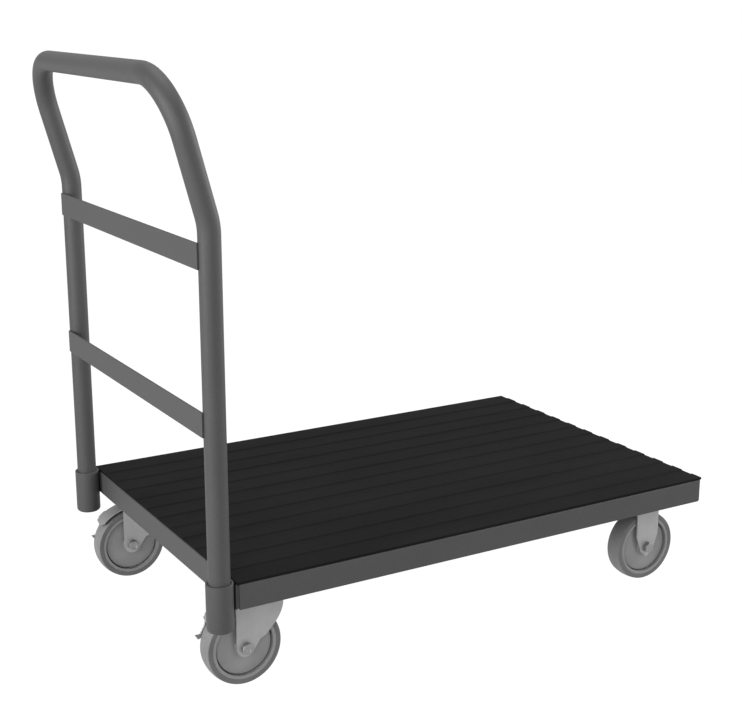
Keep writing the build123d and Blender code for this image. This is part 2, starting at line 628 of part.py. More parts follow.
def brake_lever(y):
    """The flat arm beside the wheel whose tip is trodden down to press the shoe on the tread."""
    edges = [
        ThreePointArc(polar(SHOE_OUTER_RADIUS, LEVER_ROOT_START),
                      polar(SHOE_OUTER_RADIUS, (LEVER_ROOT_START + LEVER_ROOT_END) / 2),
                      polar(SHOE_OUTER_RADIUS, LEVER_ROOT_END)),
    ]
    back = polar(LEVER_BACK_RADIUS, LEVER_ROOT_END + LEVER_BACK_TURN)
    shoulder = (-sqrt(LEVER_BACK_RADIUS**2 - LEVER_TIP[1]**2), LEVER_TIP[1])
    inner_low = polar(LEVER_INNER_RADIUS, LEVER_INNER_END)
    inner_high = polar(LEVER_INNER_RADIUS, LEVER_ROOT_START + LEVER_INNER_TURN)
    corners = [polar(SHOE_OUTER_RADIUS, LEVER_ROOT_END), back, shoulder, LEVER_TIP, LEVER_TIP_HEEL,
               inner_low, inner_high, polar(SHOE_OUTER_RADIUS, LEVER_ROOT_START)]
    edges += [Line(start, end) for start, end in zip(corners, corners[1:])]
    arm = side_cut(make_face(edges), LEVER_FACE, LEVER_FACE + LEVER_THICKNESS)
    return Pos(REAR_AXLE_X, y, AXLE_Z) * arm


def opened(side, piece):
    """Turn a brake piece about its pin, away from the tread, by the angle it rests at."""
    pivot = Pos(REAR_AXLE_X + BRAKE_PIVOT[0], 0, AXLE_Z + BRAKE_PIVOT[1])
    return pivot * Rot(0, BRAKE_OPEN[side], 0) * pivot.inverse() * piece


# ---------------------------------------------------------------- the whole cart
def build_deck():
    """The deck, its mat, channels, sockets and plate fasteners."""
    save("deck_tray", deck_tray())
    save("rubber_mat", rubber_mat())
    save("rear_channel", cross_channel(REAR_KINGPIN_X))
    save("front_channel", cross_channel(FRONT_AXLE_X))
    save("socket_left", socket(1))
    save("socket_right", socket(-1))
    save("plate_bolts", plate_bolts())
    save("plate_nuts", plate_nuts())


def build_handle():
    """The lift-out handle."""
    save("handle_tube", handle_tube())
    save("upper_crossbar", crossbar(UPPER_BAR_Z))
    save("lower_crossbar", crossbar(LOWER_BAR_Z))


def build_wheel(name, x, y):
    """One wheel and its bearing."""
    save(f"{name}_tyre", wheel_tyre(x, y))
    save(f"{name}_core", wheel_core(x, y))
    save(f"{name}_bearing", wheel_bearing(x, y))


def build_swivel_caster(side, y):
    """One swivel caster with its brake."""
    save(f"swivel_plate_{side}", swivel_plate(y))
    save(f"kingpin_{side}", kingpin(y))
    save(f"lower_race_{side}", lower_race(y))
    upper = caged_balls(y, YOKE_TOP + BEARING_GAP, UPPER_BALL, UPPER_BALL_CIRCLE, UPPER_BALL_COUNT)
    save(f"upper_balls_{side}", upper)
    lower = caged_balls(y, RACE_TOP, LOWER_BALL, LOWER_BALL_CIRCLE, LOWER_BALL_COUNT)
    save(f"lower_balls_{side}", lower)
    save(f"swivel_yoke_{side}", swivel_yoke(y))
    save(f"swivel_axle_{side}", swivel_axle(y))
    save(f"swivel_nut_{side}", axle_nut(REAR_AXLE_X, y))
    save(f"swivel_sleeve_{side}", axle_sleeve(REAR_AXLE_X, y))
    save(f"brake_pin_{side}", brake_pin(y))
    save(f"brake_shoe_{side}", opened(side, brake_shoe(y)))
    save(f"brake_lever_{side}", opened(side, brake_lever(y)))
    build_wheel(f"rear_{side}", REAR_AXLE_X, y)


def build_rigid_caster(side, y):
    """One rigid caster."""
    save(f"rigid_plate_{side}", caster_plate(FRONT_AXLE_X, y))
    save(f"rigid_fork_{side}", rigid_fork(y))
    save(f"rigid_axle_{side}", rigid_axle(y))
    save(f"rigid_nut_{side}", axle_nut(FRONT_AXLE_X, y))
    save(f"rigid_sleeve_{side}", axle_sleeve(FRONT_AXLE_X, y))
    build_wheel(f"front_{side}", FRONT_AXLE_X, y)


os.makedirs("parts", exist_ok=True)
build_deck()
build_handle()
for side_name, side_y in SIDES.items():
    build_swivel_caster(side_name, side_y)
    build_rigid_caster(side_name, side_y)
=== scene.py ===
"""Looks of a platform cart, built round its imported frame.

Every length is in metres and every piece lies in the frame's own axes: +X is the cart's front,
where the rigid casters are, +Y its left side, +Z up. The handle stands at the rear, -X.
"""
import json
import logging
import math
from dataclasses import dataclass, field
from enum import Enum
from typing import Iterable, Sequence

import bmesh
import bpy
import numpy as np
from mathutils import Matrix, Vector


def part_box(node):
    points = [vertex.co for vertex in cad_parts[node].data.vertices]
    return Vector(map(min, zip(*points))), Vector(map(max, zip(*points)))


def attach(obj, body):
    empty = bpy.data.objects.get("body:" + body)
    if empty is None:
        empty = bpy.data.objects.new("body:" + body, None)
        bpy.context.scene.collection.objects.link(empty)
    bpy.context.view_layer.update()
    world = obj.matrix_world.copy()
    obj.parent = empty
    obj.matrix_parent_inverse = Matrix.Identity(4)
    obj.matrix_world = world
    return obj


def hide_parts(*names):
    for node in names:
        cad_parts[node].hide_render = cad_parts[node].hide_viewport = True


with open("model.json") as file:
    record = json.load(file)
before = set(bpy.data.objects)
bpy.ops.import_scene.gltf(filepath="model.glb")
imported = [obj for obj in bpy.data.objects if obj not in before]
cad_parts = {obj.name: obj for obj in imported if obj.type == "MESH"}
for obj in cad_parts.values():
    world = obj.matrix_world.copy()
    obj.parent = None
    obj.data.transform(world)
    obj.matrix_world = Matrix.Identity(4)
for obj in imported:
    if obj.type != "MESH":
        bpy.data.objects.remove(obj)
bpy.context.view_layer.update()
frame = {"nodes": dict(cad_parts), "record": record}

LOG = logging.getLogger("cart")
MM = 0.001
Point = Sequence[float]


# ------------------------------------------------------------------ shader expressions
class Shade:
    """A node socket that takes part in Python expressions."""

    def __init__(self, graph: "Graph", socket: bpy.types.NodeSocket) -> None:
        """Wrap one output socket of a graph."""
        self.graph = graph
        self.socket = socket

    def _math(self, kind: str, *values: "Shade | float") -> "Shade":
        """Add one Math node of this kind."""
        return self.graph.node("ShaderNodeMath", {"operation": kind}, *values)

    def __add__(self, other: "Shade | float") -> "Shade":
        """Sum."""
        return self._math("ADD", self, other)

    def __radd__(self, other: float) -> "Shade":
        """Sum with a number on the left."""
        return self._math("ADD", other, self)

    def __sub__(self, other: "Shade | float") -> "Shade":
        """Difference."""
        return self._math("SUBTRACT", self, other)

    def __rsub__(self, other: float) -> "Shade":
        """Difference from a number on the left."""
        return self._math("SUBTRACT", other, self)

    def __mul__(self, other: "Shade | float") -> "Shade":
        """Product."""
        return self._math("MULTIPLY", self, other)

    def __rmul__(self, other: float) -> "Shade":
        """Product with a number on the left."""
        return self._math("MULTIPLY", other, self)

    def __abs__(self) -> "Shade":
        """Size without sign."""
        return self._math("ABSOLUTE", self)

    def ramp(self, low: float, high: float) -> "Shade":
        """A smooth step from 0 at low to 1 at high."""
        settings = {"interpolation_type": "SMOOTHSTEP"}
        return self.graph.node("ShaderNodeMapRange", settings, self, low, high, 0.0, 1.0)


class Graph:
    """One material's node tree."""

    def __init__(self, name: str) -> None:
        """Make an empty material of this name.

        Args:
            name: The material's name.
        """
        self.material = bpy.data.materials.new(name)
        self.material.use_nodes = True
        self.tree = self.material.node_tree
        self.tree.nodes.clear()

    def node(self, kind: str, settings: dict[str, object] | None = None,
             *inputs: "Shade | float | Point | None", output: int = 0, **named: object) -> Shade:
        """Add a node.

        Args:
            kind: The node's type name.
            settings: Attributes that are set before the inputs.
            inputs: Values or links for the sockets in order; None leaves one as it is.
            output: Which output the returned wrapper stands for.
            named: Values or links for sockets by name, underscores standing for spaces.

        Returns:
            The chosen output, wrapped.
        """
        made = self.tree.nodes.new(kind)
        for attribute, value in (settings or {}).items():
            setattr(made, attribute, value)
        pairs = list(zip(self._open_sockets(made), inputs))
        pairs += [(made.inputs[name.replace("_", " ")], value) for name, value in named.items()]
        for socket, value in pairs:
            if isinstance(value, Shade):
                self.tree.links.new(value.socket, socket)
            elif value is not None:
                socket.default_value = value
        return Shade(self, made.outputs[output])

    @staticmethod
    def _open_sockets(made: bpy.types.Node) -> list[bpy.types.NodeSocket]:
        """The node's enabled inputs, in order."""
        return [socket for socket in made.inputs if socket.enabled]

    def place(self, scale: Point = (1.0, 1.0, 1.0)) -> Shade:
        """The point on the piece in metres, stretched by scale."""
        coordinates = self.node("ShaderNodeTexCoord", output=3)
        return self.node("ShaderNodeVectorMath", {"operation": "MULTIPLY"}, coordinates, scale)

    def noise(self, scale: float, detail: float = 2.0, rough: float = 0.5,
              stretch: Point = (1.0, 1.0, 1.0)) -> Shade:
        """Noise of about 0 to 1 with scale cells to the metre."""
        return self.node("ShaderNodeTexNoise", None, Vector=self.place(stretch), Scale=scale,
                         Detail=detail, Roughness=rough)

    def facing(self, index: int) -> Shade:
        """One coordinate of the surface's own direction, as the piece sees it."""
        normal = self.node("ShaderNodeTexCoord", output=1)
        return self.node("ShaderNodeSeparateXYZ", None, normal, output=index)

    def blend(self, factor: "Shade | float", low: "Shade | Point", high: "Shade | Point") -> Shade:
        """A colour between two colours."""
        return self.node("ShaderNodeMix", {"data_type": "RGBA"}, factor, low, high, output=2)

    def bump(self, height: Shade, distance: float, strength: float = 1.0) -> Shade:
        """A normal bent by a height field whose full range is distance metres."""
        return self.node("ShaderNodeBump", None, Height=height, Distance=distance, Strength=strength)

    def finish(self, shader: Shade) -> bpy.types.Material:
        """Send a shader to the material's output.

        Args:
            shader: The shader that the surface shows.

        Returns:
            The material.
        """
        end = self.tree.nodes.new("ShaderNodeOutputMaterial")
        self.tree.links.new(shader.socket, end.inputs[0])
        return self.material

    def surface(self, **inputs: object) -> bpy.types.Material:
        """Finish with a Principled surface."""
        return self.finish(self.node("ShaderNodeBsdfPrincipled", None, **inputs))


def grey(level: float, warmth: float = 0.0) -> tuple[float, float, float, float]:
    """A neutral colour of this linear level, a little warmer or cooler."""
    return (level * (1 + warmth), level, level * (1 - warmth), 1.0)


# ------------------------------------------------------------------ finishes
@dataclass(frozen=True)
class PowderCoat:
    """Grey textured powder coat on steel."""

    name: str = "powder_coat"
    level: float = 0.038
    roughness: float = 0.55
    gloss: float = 0.27

    def material(self) -> bpy.types.Material:
        """Build the finish: fine grain, slow drift in tone and an orange-peel surface.

        Returns:
            The material.
        """
        graph = Graph(self.name)
        grain = graph.noise(520, 3, 0.65)
        flow = graph.noise(7, 2)
        peel = graph.noise(900, 2)
        tone = (grain * 0.7 + flow * 0.3).ramp(0.28, 0.72)
        colour = graph.blend(tone, grey(self.level * 0.86), grey(self.level * 1.14))
        return graph.surface(Base_Color=colour, Roughness=self.roughness - 0.06 + 0.12 * flow,
                             Normal=graph.bump(peel + 0.6 * grain, 0.00006, 0.6),
                             Specular_IOR_Level=self.gloss)


@dataclass(frozen=True)
class BlackRubber:
    """Matt black rubber sheet."""

    name: str = "black_rubber"
    level: float = 0.0058

    def material(self) -> bpy.types.Material:
        """Build the finish: a stippled sheet with faint bloom in patches.

        Returns:
            The material.
        """
        graph = Graph(self.name)
        stipple = graph.noise(1400, 2, 0.6)
        bloom = graph.noise(11, 3, 0.55, (0.35, 1.0, 1.0))
        colour = graph.blend(bloom.ramp(0.3, 0.75), grey(self.level * 0.88), grey(self.level * 1.16))
        return graph.surface(Base_Color=colour, Roughness=0.66 + 0.12 * stipple,
                             Normal=graph.bump(stipple, 0.00008, 0.7), Specular_IOR_Level=0.035)


@dataclass(frozen=True)
class ZincPlate:
    """Zinc plating on pressed steel."""

    name: str = "zinc_plate"
    level: float = 0.265
    metallic: float = 0.5

    def material(self) -> bpy.types.Material:
        """Build the finish: faint clouds in the plating and fine marks along the rolling.

        Returns:
            The material.
        """
        graph = Graph(self.name)
        cloud = graph.noise(55, 3, 0.6)
        marks = graph.noise(260, 2, 0.5, (1.0, 1.0, 0.12))
        tone = (cloud * 0.8 + marks * 0.2).ramp(0.3, 0.7)
        colour = graph.blend(tone, grey(self.level * 0.95), grey(self.level * 1.05))
        return graph.surface(Base_Color=colour, Metallic=self.metallic,
                             Roughness=0.38 + 0.12 * cloud,
                             Normal=graph.bump(marks, 0.00002, 0.3))


@dataclass(frozen=True)
class WheelRubber:
    """Grey non-marking tyre rubber."""

    name: str = "tyre_grey"
    level: float = 0.086
    # painted highlight: the tread's level is lighter than the sides' to stand in for the light falling on
    # the tread
    tread: float = 0.132

    def material(self) -> bpy.types.Material:
        """Build the finish: a satin moulded skin, the tread painted lighter than the sides as painted light
        from the side lamps.

        Returns:
            The material.
        """
        graph = Graph(self.name)
        skin = graph.noise(700, 2)
        drift = graph.noise(24, 3)
        # painted light: faces along the axle get the darker side level, the outward-facing tread gets the
        # lighter painted-highlight level
        side = abs(graph.facing(1)).ramp(0.3, 0.75)
        level = graph.blend(side, grey(self.tread), grey(self.level))
        colour = graph.blend(drift.ramp(0.3, 0.7) * 0.16, level, grey(0.0))
        return graph.surface(Base_Color=colour, Roughness=0.5 + 0.14 * drift,
                             Normal=graph.bump(skin, 0.00005, 0.5), Specular_IOR_Level=0.35)


@dataclass(frozen=True)
class MouldedCore:
    """Grey moulded plastic of the wheel's core."""

    name: str = "core_grey"
    level: float = 0.145

    def material(self) -> bpy.types.Material:
        """Build the finish: a fine spark-eroded texture with faint flow marks.

        Returns:
            The material.
        """
        graph = Graph(self.name)
        spark = graph.noise(1100, 2, 0.6)
        flow = graph.noise(30, 2)
        colour = graph.blend(flow.ramp(0.3, 0.7), grey(self.level * 0.93), grey(self.level * 1.07))
        return graph.surface(Base_Color=colour, Roughness=0.42 + 0.12 * spark,
                             Normal=graph.bump(spark, 0.00004, 0.5))


@dataclass(frozen=True)
class FastenerSteel:
    """Bright zinc on bolts, nuts and pins."""

    name: str = "fastener_steel"
    level: float = 0.25

    def material(self) -> bpy.types.Material:
        """Build the finish: small clouds and turning marks.

        Returns:
            The material.
        """
        graph = Graph(self.name)
        cloud = graph.noise(180, 3)
        colour = graph.blend(cloud.ramp(0.3, 0.7), grey(self.level * 0.88), grey(self.level))
        return graph.surface(Base_Color=colour, Metallic=0.85, Roughness=0.34 + 0.16 * cloud,
                             Normal=graph.bump(cloud, 0.00003, 0.4))


@dataclass(frozen=True)
class BearingSteel:
    """Greased bearing steel, darker than the plating round it."""

    name: str = "bearing_steel"
    level: float = 0.28

    def material(self) -> bpy.types.Material:
        """Build the finish: polished steel under patches of grease.

        Returns:
            The material.
        """
        graph = Graph(self.name)
        grease = graph.noise(140, 2).ramp(0.45, 0.6)
        colour = graph.blend(grease, grey(self.level), grey(self.level * 0.35, 0.1))
        return graph.surface(Base_Color=colour, Metallic=1.0 - 0.7 * grease,
                             Roughness=0.22 + 0.25 * grease)


class Slot(Enum):
    """The record's material slots."""

    DECK = "deck_paint"
    HANDLE = "handle_paint"
    MAT = "mat_rubber"
    ZINC = "zinc_plate"
    BOLT = "bolt_steel"
    BEARING = "bearing_steel"
    TYRE = "tyre_rubber"
    CORE = "wheel_core"


class Paintbox:
    """All finishes, one for each material slot."""

    def __init__(self) -> None:
        """Build every finish once."""
        coat = PowderCoat().material()
        self.by_slot = {
            Slot.DECK: coat,
            Slot.HANDLE: PowderCoat(name="handle_coat").material(),
            Slot.MAT: BlackRubber().material(),
            Slot.ZINC: ZincPlate().material(),
            Slot.BOLT: FastenerSteel().material(),
            Slot.BEARING: BearingSteel().material(),
            Slot.TYRE: WheelRubber().material(),
            Slot.CORE: MouldedCore().material(),
        }

    def dress(self, piece: bpy.types.Object, slot: Slot) -> None:
        """Give a piece one finish all over."""
        piece.data.materials.clear()
        piece.data.materials.append(self.by_slot[slot])

    def dress_frame(self) -> None:
        """Give every carried-over frame node the finish of its slot."""
        for entry in frame["record"]["subparts"]:
            self.dress(frame["nodes"][entry["node"]], Slot(entry["material_slot"]))


# ------------------------------------------------------------------ outlines
def polar(radius: float, angle: float) -> tuple[float, float]:
    """The flat point at a radius and an angle in degrees."""
    return (radius * math.cos(math.radians(angle)), radius * math.sin(math.radians(angle)))


def rounded(corners: Sequence[Point], radii: Sequence[float], steps: int = 5,
            closed: bool = True) -> list[np.ndarray]:
    """Round the corners of an outline in any number of dimensions.

    Args:
        corners: The corner points.
        radii: One radius for each corner; 0 keeps it sharp.
        steps: How many pieces each arc is cut into.
        closed: Whether the last corner joins the first.

    Returns:
        The outline's points.
    """
    points = [np.array(corner, float) for corner in corners]
    count = len(points)
    outline: list[np.ndarray] = []
    for index, (corner, radius) in enumerate(zip(points, radii)):
        is_end = not closed and index in (0, count - 1)
        if radius <= 0 or is_end:
            outline.append(corner)
            continue
        before = points[index - 1] - corner
        after = points[(index + 1) % count] - corner
        before /= np.linalg.norm(before)
        after /= np.linalg.norm(after)
        half = math.acos(float(np.clip(before @ after, -1, 1))) / 2
        middle = (before + after) / np.linalg.norm(before + after)
        centre = corner + middle * radius / math.sin(half)
        first = corner + before * radius / math.tan(half) - centre
        last = corner + after * radius / math.tan(half) - centre
        sweep = math.pi - 2 * half
        for share in np.linspace(0, 1, steps + 1):
            weight = (math.sin((1 - share) * sweep), math.sin(share * sweep))
            outline.append(centre + (weight[0] * first + weight[1] * last) / math.sin(sweep))
    return outline


# ------------------------------------------------------------------ meshes
class Form:
    """Collects closed shells and turns them into one piece."""

    def __init__(self, name: str) -> None:
        """Start an empty form.

        Args:
            name: The piece's name.
        """
        self.name = name
        self.points: list[np.ndarray] = []
        self.faces: list[tuple[int, ...]] = []

    def _add(self, points: np.ndarray, faces: Iterable[Sequence[int]]) -> None:
        """Append points and the faces between them.

        Args:
            points: Any number of points.
            faces: Indices into those points.
        """
        base = len(self.points)
        self.points.extend(points.reshape(-1, 3))
        self.faces.extend(tuple(base + index for index in face) for face in faces)

    def loft(self, rings: np.ndarray, loop: bool = False) -> None:
        """Skin a stack of closed rings; the ends are capped unless the stack is a loop.

        Args:
            rings: Points of shape (rings, points in a ring, 3).
            loop: Whether the last ring joins the first.
        """
        count, width = rings.shape[:2]
        faces: list[Sequence[int]] = []
        for row in range(count if loop else count - 1):
            above = (row + 1) % count
            for column in range(width):
                right = (column + 1) % width
                faces.append((row * width + column, row * width + right,
                              above * width + right, above * width + column))
        if not loop:
            faces.append(tuple(reversed(range(width))))
            faces.append(tuple((count - 1) * width + column for column in range(width)))
        self._add(rings, faces)

    def lathe(self, profile: Sequence[Point], centre: Point, axis: str, segments: int = 96) -> None:
        """Turn a closed profile of (radius, height) points about an axis.

        Args:
            profile: The closed profile, clear of the axis.
            centre: The point on the axis at height 0.
            axis: "Y" or "Z".
            segments: Number of steps round.
        """
        turn = np.linspace(0, 2 * math.pi, segments, endpoint=False)
        radius = np.array([point[0] for point in profile])
        height = np.array([point[1] for point in profile])
        rings = np.zeros((segments, len(profile), 3))
        rings[:, :, 0] = np.cos(turn)[:, None] * radius
        rings[:, :, 1 if axis == "Z" else 2] = np.sin(turn)[:, None] * radius
        rings[:, :, 2 if axis == "Z" else 1] = height
        self.loft(rings + np.array(centre, float), loop=True)

    def sheet(self, outer: np.ndarray, inner: np.ndarray, seam: bool = False) -> None:
        """A thick sheet between two grids of the same shape, closed round its border.

        Args:
            outer: Points of shape (rows, columns, 3) on one face.
            inner: The matching points on the other face.
            seam: Whether the last column meets its own mirror image, so that it stays open there.
        """
        rows, columns = outer.shape[:2]
        size = rows * columns
        faces: list[Sequence[int]] = []
        for row in range(rows - 1):
            for column in range(columns - 1):
                a = row * columns + column
                b = a + columns
                faces.append((a, a + 1, b + 1, b))
                faces.append((size + a, size + b, size + b + 1, size + a + 1))
        border = [column for column in range(columns)]
        border += [row * columns + columns - 1 for row in range(1, rows)]
        border += [(rows - 1) * columns + column for column in range(columns - 2, -1, -1)]
        border += [row * columns for row in range(rows - 2, 0, -1)]
        for start, end in zip(border, border[1:] + border[:1]):
            if seam and start % columns == columns - 1 and end % columns == columns - 1:
                continue
            faces.append((end, start, size + start, size + end))
        self._add(np.concatenate([outer.reshape(-1, 3), inner.reshape(-1, 3)]), faces)

    def prism(self, outline: Sequence[Point], along: str, low: float, high: float) -> None:
        """Extrude a flat outline.

        Args:
            outline: Points (x, z) for along "Y", (y, z) for "X", or (x, y) for "Z".
            along: The axis of extrusion.
            low: Where it starts.
            high: Where it ends.
        """
        flat = np.array([tuple(point) for point in outline], float)
        rings = np.zeros((2, len(flat), 3))
        columns = {"X": (1, 2, 0), "Y": (0, 2, 1), "Z": (0, 1, 2)}[along]
        rings[:, :, columns[0]] = flat[:, 0]
        rings[:, :, columns[1]] = flat[:, 1]
        rings[0, :, columns[2]] = low
        rings[1, :, columns[2]] = high
        self.loft(rings)

    def tube(self, path: Sequence[Point], radius: "float | np.ndarray", segments: int = 48,
             bore: float = 0.0) -> None:
        """Sweep a circle, or a ring if it has a bore, along a path.

        Args:
            path: Points along the middle.
            radius: One radius, or one for each point.
            segments: Steps round the circle.
            bore: Inner radius; 0 for a solid rod.
        """
        middle = np.array([tuple(point) for point in path], float)
        tangent = np.gradient(middle, axis=0)
        tangent /= np.linalg.norm(tangent, axis=1)[:, None]
        reference = np.cross(tangent[0], (0.0, 0.0, 1.0))
        if np.linalg.norm(reference) < 0.1:
            reference = np.array((0.0, 1.0, 0.0))
        radii = np.broadcast_to(np.asarray(radius, float), len(middle))
        turn = np.linspace(0, 2 * math.pi, segments, endpoint=False)
        rings = []
        for point, direction, size in zip(middle, tangent, radii):
            reference = reference - direction * (reference @ direction)
            reference /= np.linalg.norm(reference)
            other = np.cross(direction, reference)
            circle = np.cos(turn)[:, None] * reference + np.sin(turn)[:, None] * other
            rings.append(np.concatenate([point + size * circle, point + bore * circle]))
        stack = np.array(rings)
        if bore <= 0:
            self.loft(stack[:, :segments])
        else:
            self._pipe(stack[:, :segments], stack[:, segments:])

    def _pipe(self, outer: np.ndarray, inner: np.ndarray) -> None:
        """Skin a pipe from the rings of its outer and inner walls.

        Args:
            outer: Points of shape (rings, points in a ring, 3).
            inner: The matching points of the bore.
        """
        count, width = outer.shape[:2]
        size = count * width
        faces: list[Sequence[int]] = []
        for column in range(width):
            right = (column + 1) % width
            for row in range(count - 1):
                a, b = row * width + column, row * width + right
                faces.append((a, b, b + width, a + width))
                faces.append((size + a, size + a + width, size + b + width, size + b))
            end = (count - 1) * width
            faces.append((column, size + column, size + right, right))
            faces.append((end + column, end + right, size + end + right, size + end + column))
        self._add(np.concatenate([outer.reshape(-1, 3), inner.reshape(-1, 3)]), faces)

    def bead(self, start: Point, end: Point, size: float) -> None:
        """A weld bead: a thin run with the ripples that the weld pool leaves.

        Args:
            start: Where the bead begins.
            end: Where it ends.
            size: Its radius.
        """
        first, last = np.array(start, float), np.array(end, float)
        length = float(np.linalg.norm(last - first))
        steps = max(12, int(length / (size * 0.28)))
        share = np.linspace(0, 1, steps + 1)
        ripple = 0.9 + 0.1 * np.abs(np.sin(share * length / (size * 0.9) * math.pi))
        taper = np.sqrt(np.clip(1 - np.abs(2 * share - 1) ** 12, 0.02, 1))
        path = first + share[:, None] * (last - first)
        self.tube(path, size * ripple * taper, 14)

    def piece(self, body: str, slot: Slot, paint: Paintbox, stands_for: Sequence[str] = (),
              bevel: float = 0.0, sharp: float = 32.0) -> bpy.types.Object:
        """Make the Blender object, dress it and fasten it to a body.

        Args:
            body: The frame body that it rides on.
            slot: The record slot of its finish.
            paint: The finishes.
            stands_for: The frame nodes that it replaces.
            bevel: Width of a bevel on its hard edges; 0 for none.
            sharp: Angle in degrees from which an edge is hard.

        Returns:
            The finished object.
        """
        mesh = bpy.data.meshes.new(self.name)
        mesh.from_pydata([tuple(point) for point in self.points], [], self.faces)
        mesh.validate()
        mesh.update()
        made = bpy.data.objects.new(self.name, mesh)
        bpy.context.scene.collection.objects.link(made)
        self._outward(mesh)
        mesh.shade_smooth()
        mesh.set_sharp_from_angle(angle=math.radians(sharp))
        if bevel > 0:
            edge = made.modifiers.new("eased_edges", "BEVEL")
            edge.width = bevel
            edge.segments = 2
            edge.limit_method = "ANGLE"
            edge.angle_limit = math.radians(sharp)
            edge.harden_normals = False
            even = made.modifiers.new("even_shading", "WEIGHTED_NORMAL")
            even.keep_sharp = True
        paint.dress(made, slot)
        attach(made, body)
        if stands_for:
            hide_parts(*stands_for)
        LOG.info("%s rides on %s: %d faces", self.name, body, len(mesh.polygons))
        return made

    @staticmethod
    def _outward(mesh: bpy.types.Mesh) -> None:
        """Merge points that coincide and turn every shell's faces outward.

        Args:
            mesh: The mesh to mend.
        """
        work = bmesh.new()
        work.from_mesh(mesh)
        bmesh.ops.remove_doubles(work, verts=work.verts, dist=1e-6)
        bmesh.ops.recalc_face_normals(work, faces=work.faces)
        work.to_mesh(mesh)
        work.free()


# ------------------------------------------------------------------ measures of the frame
@dataclass(frozen=True)
class Span:
    """A frame node's box at rest."""

    low: Vector
    high: Vector

    @classmethod
    def of(cls, node: str) -> "Span":
        """Measure a node.

        Args:
            node: The frame node's name.

        Returns:
            Its box.
        """
        return cls(*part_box(node))

    @property
    def middle(self) -> Vector:
        """The box's centre."""
        return (self.low + self.high) / 2

    @property
    def size(self) -> Vector:
        """The box's edge lengths."""
        return self.high - self.low


# ------------------------------------------------------------------ deck
@dataclass
class RibbedMat:
    """The mat: a flat base with wide raised ribs and soft edges."""

    paint: Paintbox
    ribs: int = 12
    rib_height: float = 1.4 * MM
    rib_top: float = 24.0 * MM
    slope: float = 2.6 * MM
    easing: float = 2.2 * MM
    rim_edge: float = 0.8 * MM

    def build(self) -> Form:
        """Extrude the rounded section from end to end.

        Returns:
            The form, not yet fastened to a body.
        """
        span = Span.of("rubber_mat")
        pitch = span.size.y / self.ribs
        high, base = span.high.z, span.low.z
        low = high - self.rib_height
        corners: list[Point] = [(span.low.y, base), (span.low.y, high)]
        radii = [0.0, self.rim_edge]
        for rib in range(self.ribs):
            start = span.low.y + rib * pitch
            if rib:
                corners += [(start - self.slope, low), (start, high)]
                radii += [self.easing, self.easing]
            corners += [(start + self.rib_top, high), (start + self.rib_top + self.slope, low)]
            radii += [self.easing, self.easing]
        corners += [(span.high.y, low), (span.high.y, base)]
        radii += [self.rim_edge, 0.0]
        form = Form("ribbed_mat")
        form.prism(rounded(corners, radii, 4), "X", span.low.x, span.high.x)
        return form

    def dress(self) -> None:
        """Fasten the mat to the deck."""
        self.build().piece("deck", Slot.MAT, self.paint, ["rubber_mat"], bevel=0.5 * MM)


@dataclass
class Socket:
    """A pipe socket with a rounded foot, welded to the rear flange."""

    side: str
    paint: Paintbox
    bore: float = 17.53 * MM
    floor: float = 4.0 * MM
    foot_edge: float = 5.5 * MM
    rim_edge: float = 0.7 * MM
    floor_edge: float = 2.0 * MM

    def build(self) -> Form:
        """Turn the cup.

        Returns:
            The form, not yet fastened to a body.
        """
        span = Span.of(f"socket_{self.side}")
        radius = span.size.y / 2
        depth = span.size.z
        corners = [(0.0, 0.0), (radius, 0.0), (radius, depth), (self.bore, depth),
                   (self.bore, self.floor), (0.0, self.floor)]
        radii = [0.0, self.foot_edge, self.rim_edge, self.rim_edge, self.floor_edge, 0.0]
        form = Form(f"socket_{self.side}_cup")
        centre = (span.middle.x, span.middle.y, span.low.z)
        form.lathe(rounded(corners, radii, 7), centre, "Z", 96)
        return form

    def dress(self) -> None:
        """Fasten the cup to the deck."""
        self.build().piece("deck", Slot.DECK, self.paint, [f"socket_{self.side}"])


@dataclass
class CornerWelds:
    """The weld inside each corner of the tray, where an end flange meets a side flange."""

    paint: Paintbox
    inset_x: float = 4.6 * MM
    inset_y: float = 4.6 * MM
    radius: float = 2.8 * MM
    foot_gap: float = 0.4 * MM
    head_gap: float = 2.4 * MM

    def build(self) -> Form:
        """Run a bead up all four corners.

        Returns:
            The form, not yet fastened to a body.
        """
        span = Span.of("deck_tray")
        form = Form("corner_welds")
        for x in (span.low.x + self.inset_x, span.high.x - self.inset_x):
            for y in (span.low.y + self.inset_y, span.high.y - self.inset_y):
                foot, head = span.low.z + self.foot_gap, span.high.z - self.head_gap
                form.bead((x, y, foot), (x, y, head), self.radius)
        return form

    def dress(self) -> None:
        """Fasten the beads to the deck."""
        self.build().piece("deck", Slot.DECK, self.paint)


@dataclass
class Underside:
    """The stitch welds between the cross channels and the deck."""

    paint: Paintbox
    stitch: float = 38.0 * MM
    gap: float = 74.0 * MM
    radius: float = 2.2 * MM
    stand_off: float = 0.6 * MM
    drop: float = 1.0 * MM

    def build(self) -> Form:
        """Lay stitches along both edges of both channels.

        Returns:
            The form, not yet fastened to a body.
        """
        form = Form("channel_welds")
        for channel in ("rear_channel", "front_channel"):
            span = Span.of(channel)
            count = int(span.size.y / (self.stitch + self.gap))
            pitch = span.size.y / count
            for x in (span.low.x - self.stand_off, span.high.x + self.stand_off):
                for step in range(count):
                    y = span.low.y + (step + 0.5) * pitch
                    z = span.high.z - self.drop
                    form.bead((x, y - self.stitch / 2, z), (x, y + self.stitch / 2, z), self.radius)
        return form

    def dress(self) -> None:
        """Fasten the stitches to the deck."""
        self.build().piece("deck", Slot.DECK, self.paint)


